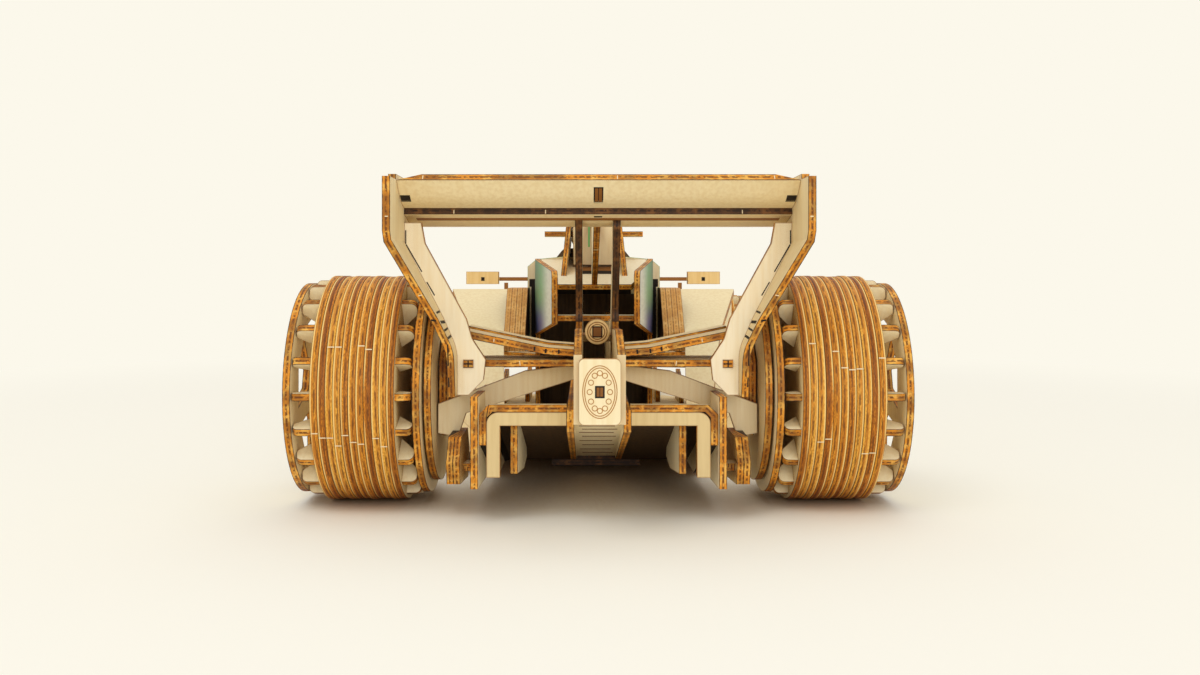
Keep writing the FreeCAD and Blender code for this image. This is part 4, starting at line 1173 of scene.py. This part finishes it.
@dataclass
class LightPlate(Assembly):
    """The rounded rear light plate, its double ellipse, its ring of circles and its square peg, in mm."""

    height: float = 36.35
    half: Point = (5.0, 7.85)
    corner: float = 1.3
    rear: float = -225.95
    front: float = -224.0
    ellipses: tuple[Point, ...] = ((4.05, 6.2), (3.58, 5.68))
    ellipse_line: float = 0.22
    circles: int = 12
    circle_track: Point = (2.4, 4.45)
    circle: float = 0.62
    circle_line: float = 0.2
    hole: Point = (1.15, 1.45)
    # The middle and half the width of each of the peg's two plies.
    peg_ply: Point = (0.415, 0.335)
    peg_half: float = 1.05
    lift: float = -0.02 * MM

    def engraving(self) -> list[Ring]:
        """Lay out the ellipses and the circles.

        Returns:
            The rings, the ellipses first.
        """
        rings = [Ring((0.0, self.height), reach, self.ellipse_line, steps=48) for reach in self.ellipses]
        for i in range(self.circles):
            turn = math.tau * i / self.circles
            wide, tall = self.circle_track
            spot = (wide * math.sin(turn), self.height + tall * math.cos(turn))
            rings.append(Ring(spot, (self.circle, self.circle), self.circle_line, steps=12))
        return rings

    def build(self) -> None:
        """Build the plate and engrave it."""
        palette, name = self.palette, "light_plate"
        wide, tall = self.half
        outline = oblong(-wide, wide, self.height - tall, self.height + tall)
        for corner in (3, 2, 1, 0):
            outline = round_corner(outline, corner, self.corner, steps=4)
        plate = Blank()
        plate.bar(outline, self.rear, self.front)
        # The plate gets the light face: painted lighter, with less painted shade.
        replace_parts(plate.finish(f"{name}_cut", "body", palette.light, palette.edge), name)
        Etcher("light_engraving", (name,), palette.engraved, lift=self.lift).etch(self.engraving())
        half, tall = self.hole
        hole = Window(0.0, half, self.height - tall, self.height + tall, pair=False)
        Etcher("light_peg_hole", (name,), palette.burnt, lift=self.lift).etch([hole])
        peg = Window(*self.peg_ply, self.height - self.peg_half, self.height + self.peg_half)
        Etcher("light_peg", (name,), palette.peg, lift=0.0).etch([peg])


@dataclass
class Exhaust(Assembly):
    """The pipe: pale rings with burnt joints round a square brown pin, over its board, in mm."""

    height: float = 48.0
    # The rear end, the front end and the radius of each ring.
    rings: tuple[tuple[float, float, float], ...] = (
        (-171.95, -170.05, 3.58), (-170.0, -168.05, 3.5), (-168.0, -166.05, 3.58),
    )
    ring_rim: float = 0.25 * MM
    segments: int = 40
    rear: float = -166.0
    board: tuple[float, float, float, float] = (-4.2, 4.2, 44.95, 46.85)
    board_front: float = -152.0
    pin: Point = (1.1, 1.25)
    pin_rear: float = -171.99
    pin_front: float = -171.0
    bar_share: float = 1.15
    bar_front: float = -152.02
    joints: tuple[float, ...] = (2.75, 2.1)
    joint_line: float = 0.28
    hole: Point = (1.45, 1.6)
    lift: float = -0.03 * MM

    def build(self) -> None:
        """Build the rings, the board and the pin, and burn the joints."""
        palette, name, height = self.palette, "exhaust", self.height
        rings = Blank(self.ring_rim)
        for rear, front, radius in self.rings:
            turns = [math.tau * i / self.segments for i in range(self.segments)]
            outline = [(radius * math.cos(t), height + radius * math.sin(t)) for t in turns]
            rings.bar(outline, rear, front, smooth=True)
        rings.bar(oblong(*self.board), self.rear, self.board_front)
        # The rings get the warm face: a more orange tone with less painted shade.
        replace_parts(rings.finish("exhaust_rings", "body", palette.warm, palette.edge), name)
        wide, tall = self.pin
        outline = oblong(-wide, wide, height - tall, height + tall)
        pin = Blank()
        pin.bar(outline, self.pin_rear, self.pin_front)
        pin.bar([(x * self.bar_share, z) for x, z in outline], self.rear, self.bar_front)
        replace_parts(pin.finish("exhaust_pin", "body", palette.peg, palette.dark_edge), name)
        joints = [Ring((0.0, height), (radius, radius), self.joint_line) for radius in self.joints]
        Etcher("exhaust_joints", (name,), palette.scorch, lift=self.lift).etch(joints)
        half, tall = self.hole
        hole = Window(0.0, half, height - tall, height + tall, pair=False)
        Etcher("exhaust_hole", (name,), palette.burnt, lift=self.lift).etch([hole])


@dataclass
class Tail(Assembly):
    """The spine and the boards round it: the tie boards' pegs, the blades' kerfs and the break-off tabs."""

    spine_neck: float = 51.0
    spine_foot: float = 44.5
    board_front: float = -207.0
    peg_seams: tuple[Stroke, ...] = (
        Stroke((34.6, 39.5), (34.6, 41.3), 0.35),
        Stroke((33.5, 40.4), (35.7, 40.4), 0.3),
    )
    blade_kerfs: tuple[Point, ...] = ((17.1, 43.7), (14.1, 43.1), (10.6, 42.9))
    # How far each kerf leans, rises and is wide.
    blade_kerf: tuple[float, float, float] = (-0.1, 1.15, 0.5)
    tab_nodes: tuple[str, ...] = (
        "tie_boards", "beam_wing", "wing_endplates", "wing_flap", "wing_main", "shark_fin",
    )
    tab_width: float = 0.24
    tab_pairs: tuple[tuple[Point, Point], ...] = (
        ((20.9, 39.8), (21.1, 41.0)), ((46.0, 58.7), (45.0, 58.9)), ((53.0, 78.5), (52.2, 78.5)),
        ((28.0, 46.1), (27.9, 47.0)), ((45.0, 88.6), (45.0, 89.5)), ((38.4, 80.4), (38.4, 81.4)),
    )
    lone_tabs: tuple[tuple[Point, Point], ...] = (
        ((4.8, 88.6), (4.8, 89.5)), ((-0.8, 72.3), (0.8, 72.3)), ((-14.0, 80.4), (-14.0, 81.4)),
    )

    def build(self) -> None:
        """Dress the tail and burn its marks."""
        palette = self.palette
        LightPlate(palette, self.dresser).build()
        Exhaust(palette, self.dresser).build()
        self.dresser.dress("tie_boards")
        self.dresser.dress("beam_wing")
        spine = self.dresser.dress("spine_sides")
        recolour(spine, palette.dark_edge, lambda spot, _: spot.z > self.spine_neck)
        recolour(spine, palette.board, lambda spot, _: spot.z < self.spine_foot and spot.y < self.board_front)
        Etcher("tie_peg_seams", ("tie_boards",), palette.burnt).etch(self.peg_seams)
        lean, rise, width = self.blade_kerf
        kerfs = [Stroke((x, low), (x + lean, low + rise), width) for x, low in self.blade_kerfs]
        Etcher("beam_kerfs", ("beam_wing",), palette.burnt).etch(kerfs)
        tabs = [Stroke(*ends, self.tab_width) for ends in self.tab_pairs]
        tabs += [Stroke(*ends, self.tab_width, pair=False) for ends in self.lone_tabs]
        Etcher("board_tabs", self.tab_nodes, palette.tab).etch(tabs)


@dataclass
class Diffuser(Assembly):
    """The diffuser's plates, the ramp's kerfs, the cuts of its bent roofs and the painted shade under its
    roof.
    """

    shade_rear: float = -198.0
    fin_plies: int = 2
    fin_ply: float = 1.8 * MM
    ramp_kerfs: tuple[float, ...] = (-198.2, -192.2, -185.8, -178.0, -168.5, -159.0, -148.5, -139.5)
    ramp_half: float = 4.7
    ramp_skew: float = 0.4
    ramp_kerf: float = 1.2
    bend: Point = (26.4, 26.0)
    bend_reach: Span = (2.4, 4.3)
    bend_turns: tuple[float, ...] = (12.0, 38.0, 62.0, 86.0)
    bend_kerf: float = 0.45
    roof_slit: Stroke = Stroke((29.7, 23.0), (29.7, 15.6), 0.3)

    def bend_cuts(self) -> list[Stroke]:
        """Lay out the kerfs that fan out over the roofs' bend.

        Returns:
            The kerfs.
        """
        cuts = []
        for degrees in self.bend_turns:
            turn = math.radians(degrees)
            x, z = self.bend
            near, far = ((x + r * math.cos(turn), z + r * math.sin(turn)) for r in self.bend_reach)
            cuts.append(Stroke(near, far, self.bend_kerf))
        return cuts

    def build(self) -> None:
        """Dress the diffuser and burn its marks."""
        dress, palette = self.dresser.dress, self.palette
        # Painted light and shade: the frames get the darker low face, the fences, keel and arms the open one.
        dress("diffuser_frames", face=palette.low)
        for node in ("diffuser_fences", "keel", "rear_arms"):
            dress(node, face=palette.open)
        roof = dress("diffuser_roof", face=palette.light)
        # Painted shade: the dark shade face on the roof's underside ahead of its rear.
        recolour(roof, palette.shade, lambda spot, normal: normal.z < -0.5 and spot.y > self.shade_rear)
        dress("duct_fins", plies=self.fin_plies, ply=self.fin_ply)
        kerfs = []
        for i, y in enumerate(self.ramp_kerfs):
            skew = self.ramp_skew if i % 2 else -self.ramp_skew
            ends = ((-self.ramp_half + skew, y), (self.ramp_half + skew, y))
            kerfs.append(Stroke(*ends, self.ramp_kerf, pair=False))
        Etcher("ramp_kerfs", ("keel",), palette.peg, Way.UP, dressed=True).etch(kerfs)
        Etcher("roof_kerfs", ("diffuser_roof",), palette.burnt).etch([*self.bend_cuts(), self.roof_slit])


@dataclass
class EngineCover(Assembly):
    """The printed cover panels, the airbox and the mirrors, with what laser and print left on them, and
    painted shade in the frames' openings and the airbox's gap.
    """

    # Painted shade: black columns on the frames where their openings and the bay under the bar lie in shade.
    shade_patch_columns: tuple[float, ...] = (22.6, 23.6, 24.6, 25.4, 26.2)
    shade_patch_half: float = 0.5
    shade_patch_span: Span = (38.0, 63.0)
    bar_columns: range = range(-14, 15, 2)
    bar_half: float = 1.0
    bar_span: Span = (55.5, 60.5)
    gap: Window = Window(0.0, 6.6, 64.9, 66.2, pair=False)
    foot: Window = Window(0.0, 6.6, 66.2, 67.7, pair=False)
    stripe: Window = Window(-1.95, 0.35, 75.5, 84.0, pair=False)
    stay_end: float = 40.8
    mirror_plies: int = 2
    mirror_pins: Window = Window(47.8, 0.75, 62.2, 63.8)

    def shade_patches(self) -> list[Window]:
        """Lay out the painted shade of the frames' openings, in columns that follow their edges.

        Returns:
            The columns.
        """
        columns = [Window(place, self.shade_patch_half, *self.shade_patch_span, steps=24) for place in self.shade_patch_columns]
        for place in self.bar_columns:
            columns.append(Window(float(place), self.bar_half, *self.bar_span, steps=10, pair=False))
        return columns

    def panels(self) -> None:
        """Dress the printed panels."""
        palette = self.palette
        # The shoulder panels get the bright face: painted light.
        faces = {
            "cover_sides": palette.printed,
            "cover_frames": palette.rimmed,
            "shoulder_panels": palette.bright,
            "shark_fin": palette.face,
        }
        for node, face in faces.items():
            self.dresser.dress(node, slot="printed_ply", face=face)

    def build(self) -> None:
        """Dress the cover, burn its marks and paint the shade of its openings and gap."""
        dress, palette = self.dresser.dress, self.palette
        self.panels()
        # Painted light: the deck gets the bright face, the airbox the open one with little painted shade.
        dress("engine_deck", face=palette.bright)
        for node in ("airbox_sides", "airbox_shell"):
            dress(node, face=palette.open)
        dress("camera_bar")
        Etcher("cover_painted_shade", ("cover_frames",), palette.burnt, slot="printed_ply").etch(self.shade_patches())
        # Painted shade: a dark band on the deck for the gap under the airbox.
        Etcher("airbox_gap_shade", ("engine_deck",), palette.burnt).etch([self.gap])
        Etcher("airbox_foot", ("engine_deck",), palette.scorch).etch([self.foot])
        Etcher("airbox_stripe", ("airbox_shell", "airbox_sides"), palette.printed_rim).etch([self.stripe])
        # The mirrors get the warm face: a more orange tone with less painted shade.
        mirrors = dress("mirrors", face=palette.warm, plies=self.mirror_plies)
        recolour(mirrors, palette.scorch, lambda spot, _: abs(spot.x) < self.stay_end)
        Etcher("mirror_pins", ("mirrors",), palette.burnt).etch([self.mirror_pins])


@dataclass
class Wheel(Assembly):
    """One wheel: the stack of tread plies, the rows of fins on its shoulders and the rims."""

    side: str
    end: str
    axle_y: float
    radius: float
    plies: int
    outer_fin: float
    inner_fin: float
    fin_count: int
    half_width: float = 83.0 * MM
    hub_radius: float = 3.0 * MM
    segments: int = 120
    bevel: float = 0.12 * MM
    burnt_rim: float = 0.5 * MM
    # The bands between the stations that make up a ply's cut edge.
    edge_bands: range = range(2, 5)
    # How far the plies stand back from the full radius, all of them and each by itself, in mm.
    play: float = 0.05
    uneven: tuple[float, ...] = (0.0, 0.14, 0.04, 0.2, 0.0, 0.1, 0.24, 0.02, 0.16, 0.06, 0.22)
    first_fin: float = 90.0
    fin_ply: float = PLY - 0.02 * MM
    fin_root: float = 9.6 * MM
    fin_tip: float = 4.8 * MM
    fin_shoulder: float = 1.4 * MM
    fin_gap: float = 0.05 * MM
    fin_lean: float = 0.6 * MM
    fin_rounds: Point = (1.5 * MM, 1.2 * MM)

    @property
    def body(self) -> str:
        """The name of the body that the wheel turns with, and of the CAD node of its rims."""
        return f"{self.end}_wheel_{self.side}"

    @property
    def tyre(self) -> str:
        """The name of the CAD node of the tyre."""
        return f"{self.end}_tyre_{self.side}"

    @property
    def way(self) -> float:
        """The sign of X on the wheel's side of the car."""
        return 1.0 if self.side == "right" else -1.0

    @property
    def stack_outside(self) -> float:
        """The distance from the car's middle to the outside of the tread plies."""
        return self.half_width - PLY - self.outer_fin

    def spot(self, x: float, radius: float, angle: float) -> Vector:
        """Find a place on the wheel.

        Args:
            x: The distance out from the car's middle.
            radius: The distance from the axle.
            angle: The angle from the top.

        Returns:
            The place.
        """
        y, z = self.axle_y + radius * math.sin(angle), self.radius + radius * math.cos(angle)
        return Vector((self.way * x, y, z))

    def radius_of(self, number: int) -> float:
        """The radius of one tread ply, with the small steps of a stack made by hand."""
        return self.radius - (self.play + self.uneven[(number * 3 + len(self.side)) % len(self.uneven)]) * MM

    def tone_of(self, number: int) -> int:
        """The tone of one tread ply, in an order that shows no pattern."""
        return (number * 7 + number // 3) % len(self.palette.tread_tones)

    def stations(self, number: int) -> list[tuple[float, float, float, float]]:
        """Lay out the section of one tread ply.

        Args:
            number: The ply, counted from outside.

        Returns:
            The distance out, radius, scorch and place across the ply of each ring of its vertices.
        """
        high = self.stack_outside - number * PLY
        low = high - PLY
        radius = self.radius_of(number)
        bare, cut = radius - self.burnt_rim, radius - self.bevel
        return [
            (low, self.hub_radius, 0.0, 0.0), (low, bare, 0.0, 0.0), (low, cut, 1.0, 0.0),
            (low + self.bevel, radius, 1.0, 0.07), (high - self.bevel, radius, 1.0, 0.93),
            (high, cut, 1.0, 1.0), (high, bare, 0.0, 1.0), (high, self.hub_radius, 0.0, 1.0),
        ]

    def tread(self) -> bpy.types.Object:
        """Build the stack of round plies.

        Returns:
            The stack.
        """
        mesh = bmesh.new()
        burn, across = set_layers(mesh)
        around = mesh.loops.layers.uv.new("around")
        for number in range(self.plies):
            radius = self.radius_of(number)
            stations = self.stations(number)
            rings = []
            for x, r, burnt, share in stations:
                turns = (math.tau * i / self.segments for i in range(self.segments))
                ring = [mesh.verts.new(self.spot(x, r, turn)) for turn in turns]
                for vert in ring:
                    vert[burn] = burnt
                    vert[across] = share
                rings.append(ring)
            for band, (one, two) in enumerate(zip(rings, rings[1:])):
                tone = self.tone_of(number) + 1 if band in self.edge_bands else 0
                for i in range(self.segments):
                    j = (i + 1) % self.segments
                    corners = [
                        (one[i], i, band), (one[j], i + 1, band),
                        (two[j], i + 1, band + 1), (two[i], i, band + 1),
                    ]
                    if self.side == "left":
                        corners.reverse()
                    face = mesh.faces.new([corner[0] for corner in corners])
                    face.smooth = True
                    face.material_index = tone
                    for loop, (_, turn, station) in zip(face.loops, corners):
                        x, r = stations[station][:2]
                        length = turn / self.segments * math.tau * radius
                        loop[around].uv = (length / MM, (x + r - radius) / MM)
        name = f"{self.end}_{self.side}_tread"
        return link(name, settle(mesh, name, self.palette.face, *self.palette.tread_tones), self.body, "ply")

    def fin_outline(self, base: float, tip: float) -> list[Point]:
        """Draw one tapered fin.

        Args:
            base: The distance out of its foot on the stack.
            tip: The distance out of its tip.

        Returns:
            Its outline, out from the car's middle and up from the axle.
        """
        grow = math.copysign(1.0, tip - base)
        top = self.radius - self.fin_shoulder
        outline = [
            (base, self.radius - self.fin_root), (tip - grow * self.fin_gap, self.radius - self.fin_tip),
            (tip - grow * self.fin_lean, top), (base, top),
        ]
        upper, lower = self.fin_rounds
        outline = round_corner(outline, 2, upper)
        outline = round_corner(outline, 1, lower, steps=3)
        outline = [(self.way * x, r) for x, r in outline]
        return outline if self.way * grow > 0 else outline[::-1]

    def fins(self) -> bpy.types.Object:
        """Build the rows of fins.

        Returns:
            The fins.
        """
        rows = [(self.stack_outside, self.half_width - PLY)]
        if self.inner_fin:
            inside = self.stack_outside - self.plies * PLY
            rows.append((inside, inside - self.inner_fin))
        axle = Matrix.Translation((0.0, self.axle_y, self.radius))
        blank = Blank()
        for base, tip in rows:
            outline = self.fin_outline(base, tip)
            for i in range(self.fin_count):
                turn = math.radians(self.first_fin + i * 360.0 / self.fin_count)
                blank.plate(outline, self.fin_ply, axle @ Matrix.Rotation(turn, 4, "X") @ UPRIGHT)
        # The fins get the open face: painted light, with little painted shade.
        return blank.finish(f"{self.end}_{self.side}_fins", self.body, self.palette.open, self.palette.edge)

    def build(self) -> None:
        """Build the wheel's pieces and stand them in for the CAD ones."""
        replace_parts(self.tread(), self.tyre)
        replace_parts(self.fins(), self.tyre)
        # The rims get the open face: painted light, with little painted shade.
        self.dresser.dress(self.body, body=self.body, face=self.palette.open)


@dataclass
class FrontWheel(Wheel):
    """A narrower front wheel with fins on its outer shoulder only."""

    end: str = "front"
    axle_y: float = 130.0 * MM
    radius: float = 28.0 * MM
    plies: int = 7
    outer_fin: float = 4.5 * MM
    inner_fin: float = 0.0
    fin_count: int = 14


@dataclass
class RearWheel(Wheel):
    """A wide rear wheel with fins on both shoulders and the pale stubs of its break-off tabs."""

    end: str = "rear"
    axle_y: float = -166.0 * MM
    radius: float = 32.0 * MM
    plies: int = 11
    outer_fin: float = 5.6 * MM
    inner_fin: float = 4.4 * MM
    fin_count: int = 20
    stub_half: Point = (0.9, 0.14)
    stub_lift: float = -0.02 * MM
    # The ply, counted from outside, and the height in mm of each stub.
    left_stubs: tuple[tuple[int, float], ...] = (
        (0, 22.5), (1, 21.3), (2, 21.3), (3, 19.1), (4, 22.0), (5, 20.1), (6, 19.6), (8, 21.2), (9, 18.9),
        (2, 45.1), (3, 45.1), (6, 45.4), (7, 44.5),
    )
    right_stubs: tuple[tuple[int, float], ...] = (
        (5, 39.8), (4, 39.3), (3, 39.5), (2, 16.9), (1, 17.1), (7, 21.0), (8, 20.2), (6, 44.0), (0, 42.3),
        (9, 46.0),
    )

    def stubs(self) -> list[Window]:
        """Lay out the stubs on their plies.

        Returns:
            The stubs.
        """
        half, tall = self.stub_half
        stubs = []
        for number, height in self.left_stubs if self.side == "left" else self.right_stubs:
            middle = (self.stack_outside - (number + 0.5) * PLY) / MM * self.way
            stubs.append(Window(middle, half, height - tall, height + tall, pair=False))
        return stubs

    def build(self) -> None:
        """Build the wheel and its stubs."""
        super().build()
        name = f"{self.end}_{self.side}_tabs"
        tab = self.palette.tab
        Etcher(name, (self.tyre,), tab, lift=self.stub_lift, body=self.body).etch(self.stubs())


@dataclass(frozen=True)
class Lamp:
    """A soft round light that looks at a place."""

    name: str
    place: tuple[float, float, float]
    aim: tuple[float, float, float]
    size: float
    power: float

    def build(self) -> None:
        """Hang the light."""
        data = bpy.data.lights.new(self.name, "AREA")
        data.shape = "DISK"
        data.size = self.size
        data.energy = self.power
        piece = bpy.data.objects.new(self.name, data)
        bpy.context.scene.collection.objects.link(piece)
        piece.location = self.place
        piece.rotation_mode = "QUATERNION"
        piece.rotation_quaternion = (Vector(self.aim) - Vector(self.place)).to_track_quat("-Z", "Y")


@dataclass
class Studio:
    """The pale floor with a painted shadow under the car, the backdrop, the soft lights and the camera behind
    the car.
    """

    focal: float = 33.75
    sensor: float = 36.0
    eye: tuple[float, float, float] = (-3.5 * MM, -491.0 * MM, 63.0 * MM)
    # The point that the car's long edges run to, and the size of the photograph, in its pixels.
    vanish: Point = (585.0, 279.0)
    picture: Point = (1200.0, 675.0)
    half_floor: float = 6.0
    paper: Colour = srgb(250, 247, 236)
    shadow_reach: float = 34.0 * MM
    shadow_depth: float = 0.68
    paper_span: Span = (0.22, 0.5)
    backdrop: Colour = srgb(252, 248, 235)
    sky: Colour = (1.0, 0.985, 0.95)
    sky_power: float = 0.78
    lamps: tuple[Lamp, ...] = (
        Lamp("key_light", (-0.6, -0.9, 1.6), (0.0, -0.1, 0.03), 1.0, 5.0),
        Lamp("top_light", (0.3, 0.3, 1.7), (0.0, 0.0, 0.0), 1.2, 3.0),
        Lamp("fill_light", (0.25, -1.5, 0.35), (0.0, -0.1, 0.04), 0.6, 3.6),
    )

    def floor(self) -> None:
        """Make the floor, with a painted shadow where the car stands close, which fades into the backdrop's
        tone away from the car.
        """
        mesh = bmesh.new()
        half = self.half_floor
        mesh.faces.new([mesh.verts.new((x, y, 0.0)) for x, y in oblong(-half, half, -half, half)])
        tree = Nodes("studio_paper")
        # Painted shadow of the car on the floor.
        colour = tree.shaded(self.paper, self.shadow_reach, self.shadow_depth)
        material = tree.done(colour, roughness=0.95)
        reach = tree.add("ShaderNodeVectorMath", operation="LENGTH")
        tree.put(reach.inputs[0], tree.place())
        far = tree.ramp(reach.outputs["Value"], self.paper_span)
        ray = tree.add("ShaderNodeLightPath").outputs["Is Camera Ray"]
        glow = tree.add("ShaderNodeEmission")
        tree.put(glow.inputs["Color"], self.backdrop)
        blend = tree.add("ShaderNodeMixShader")
        tree.put(blend.inputs[0], tree.maths("MULTIPLY", far, ray))
        tree.put(blend.inputs[1], tree.shader.outputs[0])
        tree.put(blend.inputs[2], glow.outputs[0])
        tree.show(blend.outputs[0])
        piece = bpy.data.objects.new("studio_floor", settle(mesh, "studio_floor", material))
        bpy.context.scene.collection.objects.link(piece)

    def surroundings(self) -> None:
        """Set the even light from all round and the backdrop that the camera sees."""
        world = bpy.data.worlds.new("studio_world")
        world.use_nodes = True
        nodes, links = world.node_tree.nodes, world.node_tree.links
        soft = nodes["Background"]
        soft.inputs[0].default_value = (*self.sky, 1.0)
        soft.inputs[1].default_value = self.sky_power
        seen = nodes.new("ShaderNodeBackground")
        seen.inputs[0].default_value = (*self.backdrop, 1.0)
        blend = nodes.new("ShaderNodeMixShader")
        links.new(nodes.new("ShaderNodeLightPath").outputs["Is Camera Ray"], blend.inputs[0])
        links.new(soft.outputs[0], blend.inputs[1])
        links.new(seen.outputs[0], blend.inputs[2])
        links.new(blend.outputs[0], nodes["World Output"].inputs[0])
        bpy.context.scene.world = world

    def camera(self) -> None:
        """Set the camera at the photograph's point of view."""
        wide, tall = self.picture
        data = bpy.data.cameras.new("camera")
        data.sensor_width = self.sensor
        data.lens = self.focal
        data.shift_x = (wide / 2.0 - self.vanish[0]) / wide
        data.shift_y = (self.vanish[1] - tall / 2.0) / wide
        data.clip_start = 0.01
        piece = bpy.data.objects.new("camera", data)
        bpy.context.scene.collection.objects.link(piece)
        piece.location = self.eye
        piece.rotation_euler = (math.radians(90.0), 0.0, 0.0)
        bpy.context.scene.camera = piece

    def build(self) -> None:
        """Build the studio."""
        self.floor()
        for lamp in self.lamps:
            lamp.build()
        self.surroundings()
        self.camera()
        bpy.context.scene.view_settings.view_transform = "Standard"


def main() -> None:
    """Build the whole scene, one sub-assembly after another."""
    palette = Palette()
    dresser = SheetDresser(palette)
    for assembly in (Hull, Axles, RearWing, Tail, Diffuser, EngineCover):
        assembly(palette, dresser).build()
    for side in ("left", "right"):
        RearWheel(palette, dresser, side).build()
        FrontWheel(palette, dresser, side).build()
    Studio().build()


if __name__ == "__main__":
    main()
